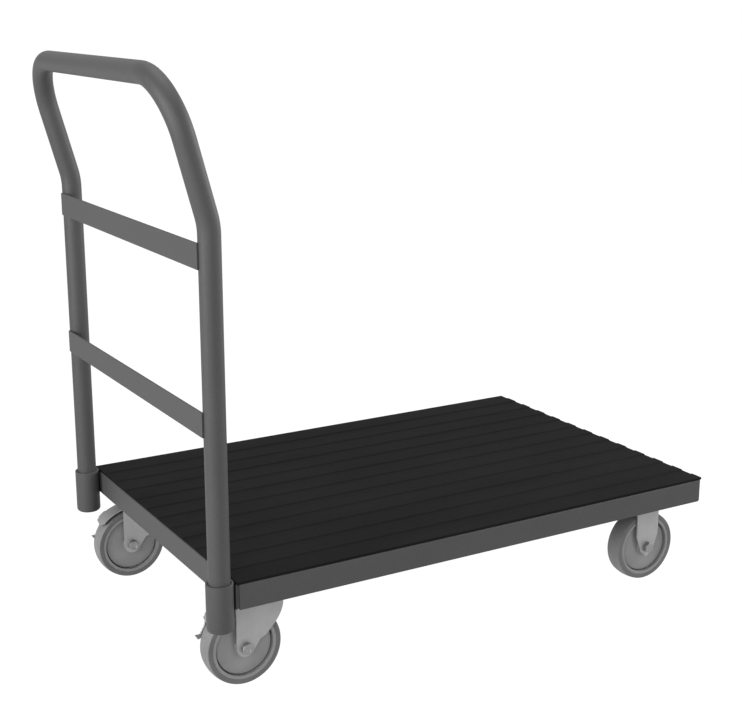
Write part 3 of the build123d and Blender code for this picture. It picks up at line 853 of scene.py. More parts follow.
# ------------------------------------------------------------------ handle
@dataclass
class Handle:
    """The push handle: one bent tube with two flat bars welded across it."""

    paint: Paintbox
    radius: float = 16.7 * MM
    wall: float = 3.4 * MM
    bend_z: float = 727.0 * MM
    lean_radius: float = 113.0 * MM
    corner_radius: float = 89.0 * MM
    bar_edge: float = 0.9 * MM
    weld_radius: float = 2.3 * MM
    weld_inset: float = 7.4 * MM
    weld_sink: float = 0.9 * MM
    weld_margin: float = 2.0 * MM

    def path(self) -> list[np.ndarray]:
        """The tube's middle line, from the right foot over the top to the left foot.

        Returns:
            The points along it.
        """
        span = Span.of("handle_tube")
        right_y = span.low.y + self.radius
        foot_x, top_x = span.high.x - self.radius, span.low.x + self.radius
        top_z = span.high.z - self.radius
        right = [(foot_x, right_y, span.low.z), (foot_x, right_y, self.bend_z), (top_x, right_y, top_z)]
        left = [(x, -y, z) for x, y, z in reversed(right)]
        radii = [0, self.lean_radius, self.corner_radius, self.corner_radius, self.lean_radius, 0]
        return rounded(right + left, radii, 18, closed=False)

    def build(self) -> Form:
        """Sweep the tube.

        Returns:
            The form, not yet fastened to a body.
        """
        form = Form("handle_pipe")
        form.tube(self.path(), self.radius, 72, self.radius - self.wall)
        return form

    def bar(self, node: str) -> Form:
        """One crossbar as a flat strip with rounded long edges.

        Args:
            node: The bar's frame node.

        Returns:
            The form, not yet fastened to a body.
        """
        span = Span.of(node)
        corners = [(span.low.x, span.low.z), (span.high.x, span.low.z),
                   (span.high.x, span.high.z), (span.low.x, span.high.z)]
        form = Form(f"{node}_strip")
        form.prism(rounded(corners, [self.bar_edge] * 4, 4), "Y", span.low.y, span.high.y)
        return form

    def welds(self) -> Form:
        """Short beads where each bar crosses an upright.

        Returns:
            The form, not yet fastened to a body.
        """
        form = Form("crossbar_welds")
        tube_x = Span.of("handle_tube").high.x - self.radius
        for node in ("upper_crossbar", "lower_crossbar"):
            span = Span.of(node)
            for side in (-1, 1):
                y = side * (span.high.y - self.weld_inset)
                x = tube_x - math.sqrt(self.radius ** 2 - (span.high.y - abs(y)) ** 2) - self.weld_sink
                foot, head = span.low.z + self.weld_margin, span.high.z - self.weld_margin
                form.bead((x, y, foot), (x, y, head), self.weld_radius)
        return form

    def dress(self) -> None:
        """Fasten the tube, the bars and the welds to the handle."""
        self.build().piece("handle", Slot.HANDLE, self.paint, ["handle_tube"])
        for node in ("upper_crossbar", "lower_crossbar"):
            self.bar(node).piece("handle", Slot.HANDLE, self.paint, [node], bevel=0.4 * MM)
        self.welds().piece("handle", Slot.HANDLE, self.paint)


# ------------------------------------------------------------------ fasteners
CHAMFER = 28.0
CHAMFER_START = 0.985


class Head(Enum):
    """The shape of a bolt's head or of its nut."""

    ROUND = "round"
    HEX = "hex"


def hex_radius(turn: float, across: float) -> float:
    """A hexagon's radius at an angle, one corner pointing along 0."""
    within = (turn % (math.pi / 3)) - math.pi / 6
    return across / 2 / math.cos(within)


def hex_head(form: Form, base: Point, axis: Point, across: float, height: float,
             both: bool = False, bore: float = 0.0) -> None:
    """A hexagon head or nut with its corners turned off.

    Args:
        form: Where the shell goes.
        base: The middle of the seat.
        axis: The unit direction away from the seat.
        across: Size over the flats.
        height: Height above the seat.
        both: Whether the seat's corners are turned off as well.
        bore: Radius of the hole; 0 for a solid head.
    """
    slope = math.tan(math.radians(CHAMFER))
    flat = across / 2 * CHAMFER_START
    corner = across / math.sqrt(3)
    drop = (corner - flat) * slope
    levels = [0.0, drop * 0.5, drop, height - drop,
              height - drop * 0.66, height - drop * 0.33, height]
    direction = np.array(axis, float)
    side = np.array((1.0, 0.0, 0.0) if abs(direction[2]) > 0.5 else (0.0, 0.0, 1.0))
    other = np.cross(direction, side)
    turns = np.linspace(0, 2 * math.pi, 72, endpoint=False)
    spokes = [math.cos(turn) * side + math.sin(turn) * other for turn in turns]
    rings = []
    for level in levels:
        cone = flat + (height - level) / slope
        if both:
            cone = min(cone, flat + level / slope)
        sizes = [min(hex_radius(turn, across), cone) for turn in turns]
        rings.append([np.array(base) + direction * level + size * spoke
                      for spoke, size in zip(spokes, sizes)])
    for radius, level in ((bore, height), (bore, 0.0)) if bore > 0 else ():
        rings.append([np.array(base) + direction * level + radius * spoke for spoke in spokes])
    form.loft(np.array(rings), loop=bore > 0)


@dataclass
class PlateBolts:
    """The bolts and nuts of the four caster plates."""

    paint: Paintbox
    across: float = 12.7 * MM
    head: float = 5.3 * MM
    shank: float = 3.97 * MM
    nut: float = 6.6 * MM
    hole_x: float = 74.6 * MM
    hole_y: float = 44.5 * MM
    end_edge: float = 0.7 * MM

    def places(self) -> list[tuple[float, float]]:
        """Where the sixteen bolts stand.

        Returns:
            Their places in plan.
        """
        spots = []
        for node in ("swivel_plate_left", "swivel_plate_right", "rigid_plate_left", "rigid_plate_right"):
            middle = Span.of(node).middle
            spots += [(middle.x + i * self.hole_x / 2, middle.y + j * self.hole_y / 2)
                      for i in (-1, 1) for j in (-1, 1)]
        return spots

    def bolts(self) -> Form:
        """Heads down, shanks up through plate and channel.

        Returns:
            The form, not yet fastened to a body.
        """
        span = Span.of("plate_bolts")
        seat = span.low.z + self.head
        form = Form("hex_bolts")
        for x, y in self.places():
            hex_head(form, (x, y, seat), (0, 0, -1), self.across, self.head)
            corners = [(0, seat), (self.shank, seat), (self.shank, span.high.z), (0, span.high.z)]
            form.lathe(rounded(corners, [0, 0, self.end_edge, 0], 2), (x, y, 0), "Z", 24)
        return form

    def nuts(self) -> Form:
        """Nuts on top, inside the channels.

        Returns:
            The form, not yet fastened to a body.
        """
        span = Span.of("plate_nuts")
        form = Form("hex_nuts")
        for x, y in self.places():
            hex_head(form, (x, y, span.low.z), (0, 0, 1), self.across, self.nut, bore=self.shank)
        return form

    def dress(self) -> None:
        """Fasten bolts and nuts to the deck."""
        self.bolts().piece("deck", Slot.BOLT, self.paint, ["plate_bolts"])
        self.nuts().piece("deck", Slot.BOLT, self.paint, ["plate_nuts"])


@dataclass
class Axle:
    """An axle bolt: shank, head on the right, nut and washers."""

    node: str
    nut_node: str
    body: str
    head: Head
    paint: Paintbox
    shank: float = 4.0 * MM
    round_head: float = 9.0 * MM
    across: float = 17.0 * MM
    height: float = 8.0 * MM
    leg_outer: float = 20.175 * MM
    end_edge: float = 0.7 * MM
    dish: float = 5.0 * MM
    dish_floor: float = 4.4 * MM
    dish_depth: float = 0.5 * MM

    def build(self) -> Form:
        """The bolt with a lightly domed head.

        Returns:
            The form, not yet fastened to a body.
        """
        span = Span.of(self.node)
        nut = Span.of(self.nut_node)
        middle = nut.middle.y - self.leg_outer - self.height / 2
        x, z = nut.middle.x, nut.middle.z
        seat = middle - self.leg_outer
        form = Form(f"{self.node}_bolt")
        end = span.high.y - seat
        form.lathe(rounded([(0, 0), (self.shank, 0), (self.shank, end), (0, end)],
                           [0, 0, self.end_edge, 0], 2), (x, seat, z), "Y", 32)
        if self.head is Head.HEX:
            hex_head(form, (x, seat, z), (0, -1, 0), self.across, self.height)
            return form
        tall = -self.height
        sunk = tall + self.dish_depth
        corners = [(0, 0), (self.round_head, 0), (self.round_head, tall), (self.dish, tall),
                   (self.dish_floor, sunk), (0, sunk)]
        radii = [0, 0.4 * MM, 0.8 * MM, 0.3 * MM, 0.3 * MM, 0]
        form.lathe(rounded(corners, radii, 5), (x, seat, z), "Y", 64)
        return form

    def nut(self) -> Form:
        """The nut.

        Returns:
            The form, not yet fastened to a body.
        """
        span = Span.of(self.nut_node)
        form = Form(f"{self.nut_node}_hex")
        base = (span.middle.x, span.low.y, span.middle.z)
        hex_head(form, base, (0, 1, 0), self.across, self.height, bore=self.shank)
        return form

    def dress(self) -> None:
        """Fasten bolt and nut to their body."""
        self.build().piece(self.body, Slot.BOLT, self.paint, [self.node])
        self.nut().piece(self.body, Slot.BOLT, self.paint, [self.nut_node])


# ------------------------------------------------------------------ wheels
@dataclass
class Wheel:
    """A solid tyre on a moulded core."""

    name: str
    paint: Paintbox
    tyre_inner: float = 53.6 * MM
    rim_inner: float = 48.6 * MM
    crown: float = 2.0 * MM
    shoulder: float = 1.5 * MM
    recess: float = 5.0 * MM
    groove: float = 2.1 * MM
    groove_depth: float = 10.0 * MM
    hub: float = 14.0 * MM
    bore: float = 9.6 * MM
    lip: float = 0.35 * MM
    rim_step: float = 0.3 * MM
    rim_draft: float = 0.2 * MM
    hub_draft: float = 0.6 * MM

    def tyre(self) -> Form:
        """Turn the tyre with its crowned tread and rounded shoulders.

        Returns:
            The form, not yet fastened to a body.
        """
        span = Span.of(f"{self.name}_tyre")
        radius, half = span.size.z / 2, span.size.y / 2
        edge = radius - self.crown
        crown = [(radius - self.crown * step * step, step * half)
                 for step in np.linspace(-0.85, 0.85, 13)]
        corners = [(self.tyre_inner, -half), (edge, -half), *crown,
                   (edge, half), (self.tyre_inner, half)]
        radii = [self.lip, self.shoulder, *([0.0] * len(crown)), self.shoulder, self.lip]
        form = Form(f"{self.name}_tyre_ring")
        form.lathe(rounded(corners, radii, 9), span.middle, "Y", 160)
        return form

    def core(self) -> Form:
        """Turn the core: rim ring, recessed disc with soft corners, and hub.

        Returns:
            The form, not yet fastened to a body.
        """
        span = Span.of(f"{self.name}_core")
        tyre = Span.of(f"{self.name}_tyre")
        rim = tyre.size.y / 2 - self.rim_step
        disc = tyre.size.y / 2 - self.recess
        hub = span.size.y / 2
        edge = self.rim_inner - self.groove
        deep = tyre.size.y / 2 - self.groove_depth
        low = [(self.bore, -hub), (self.hub, -hub), (self.hub + self.hub_draft, -disc), (edge, -disc),
               (edge, -deep), (self.rim_inner - self.rim_draft, -deep), (self.rim_inner, -rim),
               (self.tyre_inner, -rim)]
        radii = [0.3 * MM, 0.6 * MM, 1.0 * MM, 0.8 * MM, 0.8 * MM, 0.8 * MM, 0.5 * MM, 0.25 * MM]
        corners = low + [(radius, -height) for radius, height in reversed(low)]
        form = Form(f"{self.name}_core_disc")
        form.lathe(rounded(corners, radii + radii[::-1], 5), span.middle, "Y", 128)
        return form

    def dress(self) -> None:
        """Fasten tyre and core to the wheel's body."""
        body = self.name.replace("rear_", "rear_wheel_").replace("front_", "front_wheel_")
        self.tyre().piece(body, Slot.TYRE, self.paint, [f"{self.name}_tyre"])
        self.core().piece(body, Slot.CORE, self.paint, [f"{self.name}_core"])


# ------------------------------------------------------------------ forks
@dataclass
class SwivelYoke:
    """The swivel caster's pressed yoke: legs, closed nose and dished race."""

    side: str
    paint: Paintbox
    wall: float = 3.0 * MM
    bend: float = 4.6 * MM
    tip: float = 15.0 * MM
    crease: tuple[float, float] = (24.4 * MM, 9.4 * MM)
    wing_start: tuple[float, float] = (34.0 * MM, 14.5 * MM)
    wing_middle: tuple[float, float] = (53.0 * MM, 36.0 * MM)
    wing_end: float = 62.0 * MM
    lead: float = 38.0 * MM
    nose: float = 15.1 * MM
    nose_radius: float = 19.4 * MM
    half: float = 20.175 * MM
    flare: float = 1.3 * MM
    flare_reach: float = 5.0 * MM
    crease_slope: float = 0.14
    crease_reach: float = 3.5 * MM
    crease_gap: float = 0.25 * MM
    disc: float = 28.0 * MM
    race_bore: float = 6.4 * MM
    race_outer: float = 25.4 * MM
    race_low: float = 22.0 * MM
    race_inner: float = 18.6 * MM
    race_depth: float = 0.9 * MM

    @property
    def centre(self) -> Vector:
        """The axle's middle.

        Returns:
            The point midway between the legs.
        """
        nut = Span.of(f"swivel_nut_{self.side}")
        yoke = Span.of(f"swivel_yoke_{self.side}")
        return Vector((nut.middle.x, yoke.middle.y, nut.middle.z))

    @property
    def front(self) -> float:
        """How far the nose lies ahead of the axle."""
        return self.lead + self.nose + self.nose_radius

    def lower_edge(self, x: float) -> float:
        """Height of the lower edge about the axle, at x ahead of it.

        Args:
            x: Distance ahead of the axle.

        Returns:
            The height.
        """
        reach = math.hypot(*self.crease)
        turn = math.atan2(self.crease[1], self.crease[0]) - math.acos(self.tip / reach)
        touch = (self.tip * math.cos(turn), self.tip * math.sin(turn))
        if x <= touch[0]:
            return -math.sqrt(max(self.tip ** 2 - x * x, 0.0))
        if x <= self.crease[0]:
            share = (x - touch[0]) / (self.crease[0] - touch[0])
            return touch[1] + share * (self.crease[1] - touch[1])
        if x <= self.wing_start[0]:
            share = (x - self.crease[0]) / (self.wing_start[0] - self.crease[0])
            return self.crease[1] + share * (self.wing_start[1] - self.crease[1])
        return self._wing(x)

    def _wing(self, x: float) -> float:
        """The swept front edge: an arc through three points.

        Args:
            x: Distance ahead of the axle.

        Returns:
            The height of the edge there.
        """
        (x1, z1), (x2, z2), (x3, z3) = self.wing_start, self.wing_middle, (self.front, self.wing_end)
        d = 2 * (x1 * (z2 - z3) + x2 * (z3 - z1) + x3 * (z1 - z2))
        s1, s2, s3 = x1 * x1 + z1 * z1, x2 * x2 + z2 * z2, x3 * x3 + z3 * z3
        cx = (s1 * (z2 - z3) + s2 * (z3 - z1) + s3 * (z1 - z2)) / d
        cz = (s1 * (x3 - x2) + s2 * (x1 - x3) + s3 * (x2 - x1)) / d
        radius = math.hypot(x1 - cx, z1 - cz)
        rise = math.sqrt(max(radius ** 2 - (x - cx) ** 2, 0.0))
        return cz + rise if z2 > cz else cz - rise

    def plan(self) -> list[tuple[float, float, float, float]]:
        """Points round one side in plan, with outward directions.

        Returns:
            Rows of x, y and the outward direction, from the leg's rear edge to the nose.
        """
        wide = self.half + self.flare
        nose = self.front - wide
        rows = [(-self.tip * math.cos(a), self.half, 0.0, 1.0)
                for a in np.linspace(0, math.pi * 0.86, 22)]
        rows += [(x, self.half, 0.0, 1.0)
                 for x in np.linspace(self.tip, self.crease[0] - self.crease_gap, 6)[1:]]
        for x in self.crease[0] + (nose - self.crease[0]) * np.linspace(0, 0.97, 24) ** 1.4:
            past = x - self.crease[0]
            turned = math.exp(-past / self.crease_reach)
            late = math.exp(-past / self.flare_reach)
            dip = self.crease_slope * self.crease_reach
            opened = (self.flare + dip) * (1 - (1 + past / self.flare_reach) * late)
            slope = (self.crease_slope * turned
                     - (self.flare + dip) * past / self.flare_reach ** 2 * late)
            size = math.hypot(slope, 1)
            rows.append((x, self.half - dip * (1 - turned) + opened, slope / size, 1 / size))
        for angle in np.linspace(math.pi / 2, 0, 24):
            along, out = math.cos(angle), math.sin(angle)
            rows.append((nose + wide * along, wide * out, along, out))
        return rows

    def build(self) -> Form:
        """Skin the pressing: walls, the bend over the top, and the crown.

        Returns:
            The form, not yet fastened to a body.
        """
        side = self.plan()
        rows = side + [(x, -y, nx, -ny) for x, y, nx, ny in reversed(side[:-1])]
        top = Span.of(f"swivel_yoke_{self.side}").high.z - self.centre.z
        nose = self.front - self.half - self.flare
        outer, inner = [], []
        for x, y, nx, ny in rows:
            low = min(self.lower_edge(x), top - self.bend - 1 * MM)
            walls = np.linspace(low, top - self.bend, 9)
            out = [(x, y, z) for z in walls]
            ins = [(x - nx * self.wall, y - ny * self.wall, z) for z in walls]
            for angle in np.linspace(0, math.pi / 2, 6)[1:]:
                back = self.bend * (1 - math.cos(angle))
                rise = top - self.bend + self.bend * math.sin(angle)
                out.append((x - nx * back, y - ny * back, rise))
                tight = self.bend - self.wall
                back = self.wall + tight * (1 - math.cos(angle))
                ins.append((x - nx * back, y - ny * back, top - self.bend + tight * math.sin(angle)))
            crown_x = min(x, nose)
            out.append((crown_x, 0.0, top))
            ins.append((crown_x, 0.0, top - self.wall))
            outer.append(out)
            inner.append(ins)
        form = Form(f"yoke_{self.side}_pressing")
        shift = np.array(self.centre)
        form.sheet(np.array(outer) + shift, np.array(inner) + shift, seam=True)
        self._race(form, top)
        return form

    def _race(self, form: Form, top: float) -> None:
        """The round dish that carries the upper balls.

        Args:
            form: The yoke's form.
            top: Height of the yoke's top about the axle.
        """
        middle = (self.centre.x + self.lead, self.centre.y, self.centre.z)
        low = top - self.wall
        corners = [(self.race_bore, low), (self.disc, low), (self.disc, top), (self.race_outer, top),
                   (self.race_low, top - self.race_depth), (self.race_inner, top),
                   (self.race_bore, top)]
        radii = [0, 0.9 * MM, 0.9 * MM, 1.0 * MM, 3.0 * MM, 1.0 * MM, 0]
        form.lathe(rounded(corners, radii, 4), middle, "Z", 96)

    def dress(self) -> None:
        """Fasten the yoke to its swivel body."""
        self.build().piece(f"swivel_{self.side}", Slot.ZINC, self.paint, [f"swivel_yoke_{self.side}"],
                           bevel=0.45 * MM, sharp=40)


@dataclass
class RigidFork:
    """The rigid caster's fork: an arch with legs that taper to a blunt point."""

    side: str
    paint: Paintbox
    wall: float = 3.0 * MM
    bend: float = 4.6 * MM
    half: float = 20.175 * MM
    foot: float = 14.0 * MM
    taper_rise: float = 22.5 * MM
    foot_drop: float = 7.5 * MM
    tip_drop: float = 18.1 * MM
    tip: float = 1.3 * MM

    def half_width(self, z: float, full: float) -> float:
        """Half the leg's width along X, at a height about the axle."""
        heights = [-self.tip_drop, -self.foot_drop, self.taper_rise]
        return float(np.interp(z, heights, [self.tip, self.foot, full]))

    def build(self) -> Form:
        """Skin the arch across its width.

        Returns:
            The form, not yet fastened to a body.
        """
        span = Span.of(f"rigid_fork_{self.side}")
        nut = Span.of(f"rigid_nut_{self.side}")
        centre = np.array((nut.middle.x, span.middle.y, nut.middle.z))
        top, full = span.high.z - centre[2], span.size.x / 2
        heights = [-self.tip_drop, -self.tip_drop + 0.6 * MM]
        heights += list(np.linspace(-self.tip_drop + 2 * MM, -self.foot_drop - 0.5 * MM, 4))
        heights += [-self.foot_drop, -self.foot_drop + 0.6 * MM]
        heights += list(np.linspace(-self.foot_drop + 3 * MM, self.taper_rise - 1 * MM, 6))
        heights += list(np.linspace(self.taper_rise, top - self.bend, 8))
        path = [((-self.half, z), (-self.half + self.wall, z)) for z in heights]
        tight = self.bend - self.wall
        corner = (-self.half + self.bend, top - self.bend)
        for angle in np.linspace(math.pi, math.pi / 2, 6)[1:]:
            path.append(((corner[0] + self.bend * math.cos(angle), corner[1] + self.bend * math.sin(angle)),
                         (corner[0] + tight * math.cos(angle), corner[1] + tight * math.sin(angle))))
        path.append(((0.0, top), (0.0, top - self.wall)))
        path += [((-a[0], a[1]), (-b[0], b[1])) for a, b in reversed(path[:-1])]
        shares = np.linspace(-1, 1, 13)
        outer, inner = [], []
        for a, b in path:
            width = self.half_width(a[1], full)
            outer.append([(share * width, a[0], a[1]) for share in shares])
            inner.append([(share * width, b[0], b[1]) for share in shares])
        form = Form(f"fork_{self.side}_pressing")
        form.sheet(np.array(outer) + centre, np.array(inner) + centre)
        return form

    def dress(self) -> None:
        """Fasten the fork to the deck."""
        self.build().piece("deck", Slot.ZINC, self.paint, [f"rigid_fork_{self.side}"],
                           bevel=0.45 * MM, sharp=40)


# ------------------------------------------------------------------ brake
@dataclass
class Brake:
    """The tread brake: a shoe over the tyre and a lever beside it."""

    side: str
    paint: Paintbox
    inner: float = 69.1 * MM
    thickness: float = 1.5 * MM
    start: float = 96.0
    end: float = 143.0
    eye: float = 4.8 * MM
    eye_bore: float = 2.6 * MM
    end_gap: float = 0.15 * MM
    pivot: tuple[float, float] = (-9.1 * MM, 74.5 * MM)
    tab_start: float = 121.0
    tab_end: float = 134.0
    tab_overlap: float = 0.4 * MM
    lever_back: float = 59.0 * MM
    lever_inner: float = 48.0 * MM
    lever_tip: tuple[float, float] = (-65.0 * MM, 17.6 * MM)
    lever_heel: tuple[float, float] = (-58.8 * MM, 9.4 * MM)
    lever_back_end: float = 146.0
    lever_inner_ends: tuple[float, float] = (162.0, 127.0)
    pin_radius: float = 4.0 * MM
    pin_neck: float = 2.5 * MM
    pin_head: float = 1.8 * MM
    rest: dict[str, float] = field(default_factory=lambda: {"left": 0.0, "right": 4.0})

    def centre(self) -> Vector:
        """The axle's middle."""
        nut = Span.of(f"swivel_nut_{self.side}")
        return Vector((nut.middle.x, Span.of(f"swivel_yoke_{self.side}").middle.y, nut.middle.z))

    def outline_end(self, y: float) -> float:
        """The angle at which the shoe ends, y from its middle: a slanted end with one corner cut off.

        Args:
            y: Distance across the shoe from its middle.

        Returns:
            The angle in degrees.
        """
        return float(np.interp(y, [-15.8 * MM, -14.8 * MM, -6.5 * MM, -3.5 * MM, 15.0 * MM, 15.8 * MM],
                               [self.end - 7.2, self.end - 6.2, self.end - 1.7, self.end - 1.1,
                                self.end - 4.0, self.end - 4.8]))

    def shoe(self) -> Form:
        """Bend the shoe over the tread and roll its other end round the pin.

        Returns:
            The form, not yet fastened to a body.
        """
        centre = np.array(self.centre())
        half = Span.of(f"rear_{self.side}_tyre").size.y / 2 - self.end_gap
        outer, inner = [], []
        for y in half * np.linspace(-1, 1, 25):
            angles = np.radians(np.linspace(self.start, self.outline_end(y), 22))
            far, near = self.inner + self.thickness, self.inner
            outer.append([(far * math.cos(a), y, far * math.sin(a)) for a in angles])
            inner.append([(near * math.cos(a), y, near * math.sin(a)) for a in angles])
        form = Form(f"brake_{self.side}_shoe")
        form.sheet(np.array(outer) + centre, np.array(inner) + centre)
        corners = [(self.eye_bore, -half), (self.eye, -half), (self.eye, half), (self.eye_bore, half)]
        profile = rounded(corners, [0.2 * MM, 0.5 * MM, 0.5 * MM, 0.2 * MM], 2)
        form.lathe(profile, centre + (self.pivot[0], 0, self.pivot[1]), "Y", 32)
        self._tab(form, centre)
        return self.opened(form)

    def opened(self, form: Form) -> Form:
        """Turn a form about the pin, away from the tread, by the angle it rests at.

        Args:
            form: The form as drawn, closed.

        Returns:
            The same form.
        """
        pivot = np.array(self.centre()) + (self.pivot[0], 0, self.pivot[1])
        turn = np.array(Matrix.Rotation(math.radians(self.rest[self.side]), 3, "Y"))
        form.points = [turn @ (point - pivot) + pivot for point in form.points]
        return form

    def _tab(self, form: Form, centre: np.ndarray) -> None:
        """The tab that runs from the shoe out to the lever.

        Args:
            form: The shoe's form.
            centre: The axle's middle.
        """
        lever = Span.of(f"brake_lever_{self.side}")
        outer, inner = [], []
        ends = (0.0, lever.low.y - centre[1] + self.tab_overlap)
        for angle in np.linspace(self.tab_start, self.tab_end, 7):
            ahead, up = polar(1.0, angle)
            direction = np.array((ahead, 0.0, up))
            outer.append([direction * (self.inner + self.thickness) + (0, y, 0) for y in ends])
            inner.append([direction * self.inner + (0, y, 0) for y in ends])
        form.sheet(np.array(outer) + centre, np.array(inner) + centre)

    def lever(self) -> Form:
        """Cut the lever from flat strip.

        Returns:
            The form, not yet fastened to a body.
        """
        span = Span.of(f"brake_lever_{self.side}")
        centre = self.centre()
        outer = self.inner + self.thickness

        back, tip_z = self.lever_back, self.lever_tip[1]
        tab_middle = (self.tab_start + self.tab_end) / 2
        corners = [polar(outer, self.tab_start), polar(outer, tab_middle), polar(outer, self.tab_end),
                   polar(back, self.lever_back_end), (-math.sqrt(back ** 2 - tip_z ** 2), tip_z),
                   self.lever_tip, self.lever_heel,
                   *(polar(self.lever_inner, end) for end in self.lever_inner_ends)]
        radii = [2 * MM, 0, 2 * MM, 6 * MM, 3 * MM, 0.7 * MM, 1.6 * MM, 6 * MM, 4 * MM]
        outline = [(centre.x + x, centre.z + z) for x, z in rounded(corners, radii, 5)]
        form = Form(f"brake_{self.side}_lever")
        form.prism(outline, "Y", span.low.y, span.high.y)
        return self.opened(form)

    def pin(self) -> Form:
        """The riveted pin with domed ends.

        Returns:
            The form, not yet fastened to a body.
        """
        span = Span.of(f"brake_pin_{self.side}")
        length, head = span.size.y, self.pin_head
        wide, neck = self.pin_radius, self.pin_neck
        corners = [(0, 0), (wide, 0), (wide, head), (neck, head), (neck, length - head),
                   (wide, length - head), (wide, length), (0, length)]
        radii = [0, 1.4 * MM, 0.1 * MM, 0, 0, 0.1 * MM, 1.4 * MM, 0]
        form = Form(f"brake_{self.side}_pin")
        form.lathe(rounded(corners, radii, 4), (span.middle.x, span.low.y, span.middle.z), "Y", 32)
        return form

    def dress(self) -> None:
        """Fasten shoe and lever to the brake, and the pin to the yoke."""
        body = f"brake_{self.side}"
        self.shoe().piece(body, Slot.ZINC, self.paint, [f"brake_shoe_{self.side}"],
                          bevel=0.4 * MM, sharp=40)
        self.lever().piece(body, Slot.ZINC, self.paint, [f"brake_lever_{self.side}"], bevel=0.5 * MM)
        self.pin().piece(f"swivel_{self.side}", Slot.BOLT, self.paint, [f"brake_pin_{self.side}"])


# ------------------------------------------------------------------ studio
@dataclass(frozen=True)
class Softbox:
    """A rectangular soft light aimed at a point."""

    name: str
    place: tuple[float, float, float]
    size: tuple[float, float]
    watts: float
    aim: tuple[float, float, float] = (0.0, 0.0, 0.3)

    def build(self) -> None:
        """Hang the light."""
        lamp = bpy.data.lights.new(self.name, "AREA")
        lamp.shape = "RECTANGLE"
        lamp.size, lamp.size_y = self.size
        lamp.energy = self.watts
        held = bpy.data.objects.new(self.name, lamp)
        held.location = self.place
        held.rotation_euler = (Vector(self.aim) - Vector(self.place)).to_track_quat("-Z", "Y").to_euler()
        bpy.context.scene.collection.objects.link(held)


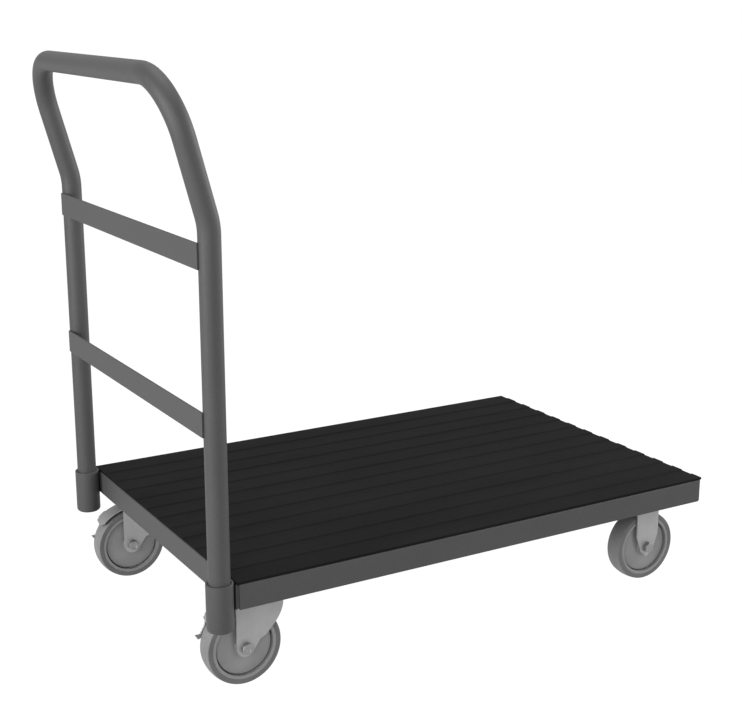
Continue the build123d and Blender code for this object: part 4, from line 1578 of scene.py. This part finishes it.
@dataclass
class Studio:
    """A white floor in an even white room, soft lights and the camera."""

    eye: tuple[float, float, float] = (-1.2005, -2.0311, 1.0331)
    azimuth: float = 60.26
    elevation: float = -14.54
    roll: float = -0.18
    lens: float = 67.36
    shift: tuple[float, float] = (0.0255, -0.0064)
    room: float = 0.27
    floor_glow: float = 1.0
    floor_diffuse: float = 0.04
    floor_near: float = 6.0
    floor_far: float = 5.0
    floor_half: float = 9.0
    sweep_radius: float = 3.0
    sweep_top: float = 9.0
    lights: list[Softbox] = field(default_factory=lambda: [
        Softbox("left", (-3.2, -0.3, 1.1), (1.8, 2.0), 122.0),
        Softbox("left_front", (-2.6, -2.4, 1.5), (1.4, 1.8), 67.0),
        Softbox("right_front", (1.4, -3.0, 1.4), (1.6, 1.8), 40.0),
        Softbox("right", (3.2, -0.6, 1.4), (1.6, 1.8), 118.0),
        Softbox("overhead", (0.0, 0.0, 3.0), (2.2, 2.2), 61.0),
    ])

    def room_light(self) -> None:
        """Fill the room with even white light."""
        world = bpy.data.worlds.new("white_room")
        world.use_nodes = True
        background = world.node_tree.nodes["Background"]
        background.inputs["Color"].default_value = (1, 1, 1, 1)
        background.inputs["Strength"].default_value = self.room
        bpy.context.scene.world = world

    def floor(self) -> None:
        """Lay the floor and sweep it up behind the cart."""
        graph = Graph("studio_white")
        glow = graph.node("ShaderNodeEmission", None, Color=(1, 1, 1, 1), Strength=self.floor_glow)
        matt = graph.node("ShaderNodeBsdfDiffuse", None, Color=grey(self.floor_diffuse))
        graph.finish(graph.node("ShaderNodeAddShader", None, glow, matt))
        away = Vector((math.cos(math.radians(self.azimuth)), math.sin(math.radians(self.azimuth)), 0))
        across = Vector((-away.y, away.x, 0))
        radius, wide = self.sweep_radius, self.floor_half
        profile = [(-self.floor_near, 0.0), (self.floor_far, 0.0)]
        profile += [(self.floor_far + radius * math.sin(a), radius - radius * math.cos(a))
                    for a in np.linspace(0, math.pi / 2, 24)[1:]]
        profile += [(self.floor_far + radius, self.sweep_top)]
        rows = [[tuple(away * distance + across * side + Vector((0, 0, height)))
                 for side in (-wide, wide)] for distance, height in profile]
        points = [point for row in rows for point in row]
        faces = [(2 * i, 2 * i + 1, 2 * i + 3, 2 * i + 2) for i in range(len(rows) - 1)]
        mesh = bpy.data.meshes.new("studio_sweep")
        mesh.from_pydata(points, [], faces)
        mesh.shade_smooth()
        sweep = bpy.data.objects.new("studio_sweep", mesh)
        mesh.materials.append(graph.material)
        bpy.context.scene.collection.objects.link(sweep)

    def camera(self) -> None:
        """Set the camera up."""
        turn, tilt, roll = (math.radians(value) for value in (self.azimuth, self.elevation, self.roll))
        forward = Vector((math.cos(turn) * math.cos(tilt), math.sin(turn) * math.cos(tilt), math.sin(tilt)))
        level = Vector((math.sin(turn), -math.cos(turn), 0))
        upward = level.cross(forward)
        right = math.cos(roll) * level + math.sin(roll) * upward
        upward = right.cross(forward)
        data = bpy.data.cameras.new("view")
        data.lens = self.lens
        data.sensor_width = 36.0
        data.shift_x, data.shift_y = self.shift
        held = bpy.data.objects.new("view", data)
        frame_axes = Matrix((right, upward, -forward)).transposed().to_4x4()
        held.matrix_world = Matrix.Translation(Vector(self.eye)) @ frame_axes
        bpy.context.scene.collection.objects.link(held)
        bpy.context.scene.camera = held

    def build(self) -> None:
        """Set up everything round the cart."""
        self.room_light()
        self.floor()
        self.camera()
        for light in self.lights:
            light.build()
        view = bpy.context.scene.view_settings
        view.view_transform = "Standard"
        view.look = "None"


def main() -> None:
    logging.basicConfig(level=logging.INFO, format="%(name)s: %(message)s")
    paint = Paintbox()
    paint.dress_frame()
    RibbedMat(paint).dress()
    Underside(paint).dress()
    CornerWelds(paint).dress()
    Handle(paint).dress()
    PlateBolts(paint).dress()
    for side in ("left", "right"):
        Socket(side, paint).dress()
        SwivelYoke(side, paint).dress()
        RigidFork(side, paint).dress()
        Brake(side, paint).dress()
        Axle(f"swivel_axle_{side}", f"swivel_nut_{side}", f"swivel_{side}", Head.ROUND, paint).dress()
        Axle(f"rigid_axle_{side}", f"rigid_nut_{side}", "deck", Head.HEX, paint).dress()
        Wheel(f"rear_{side}", paint).dress()
        Wheel(f"front_{side}", paint).dress()
    Studio().build()


if __name__ == "__main__":
    main()
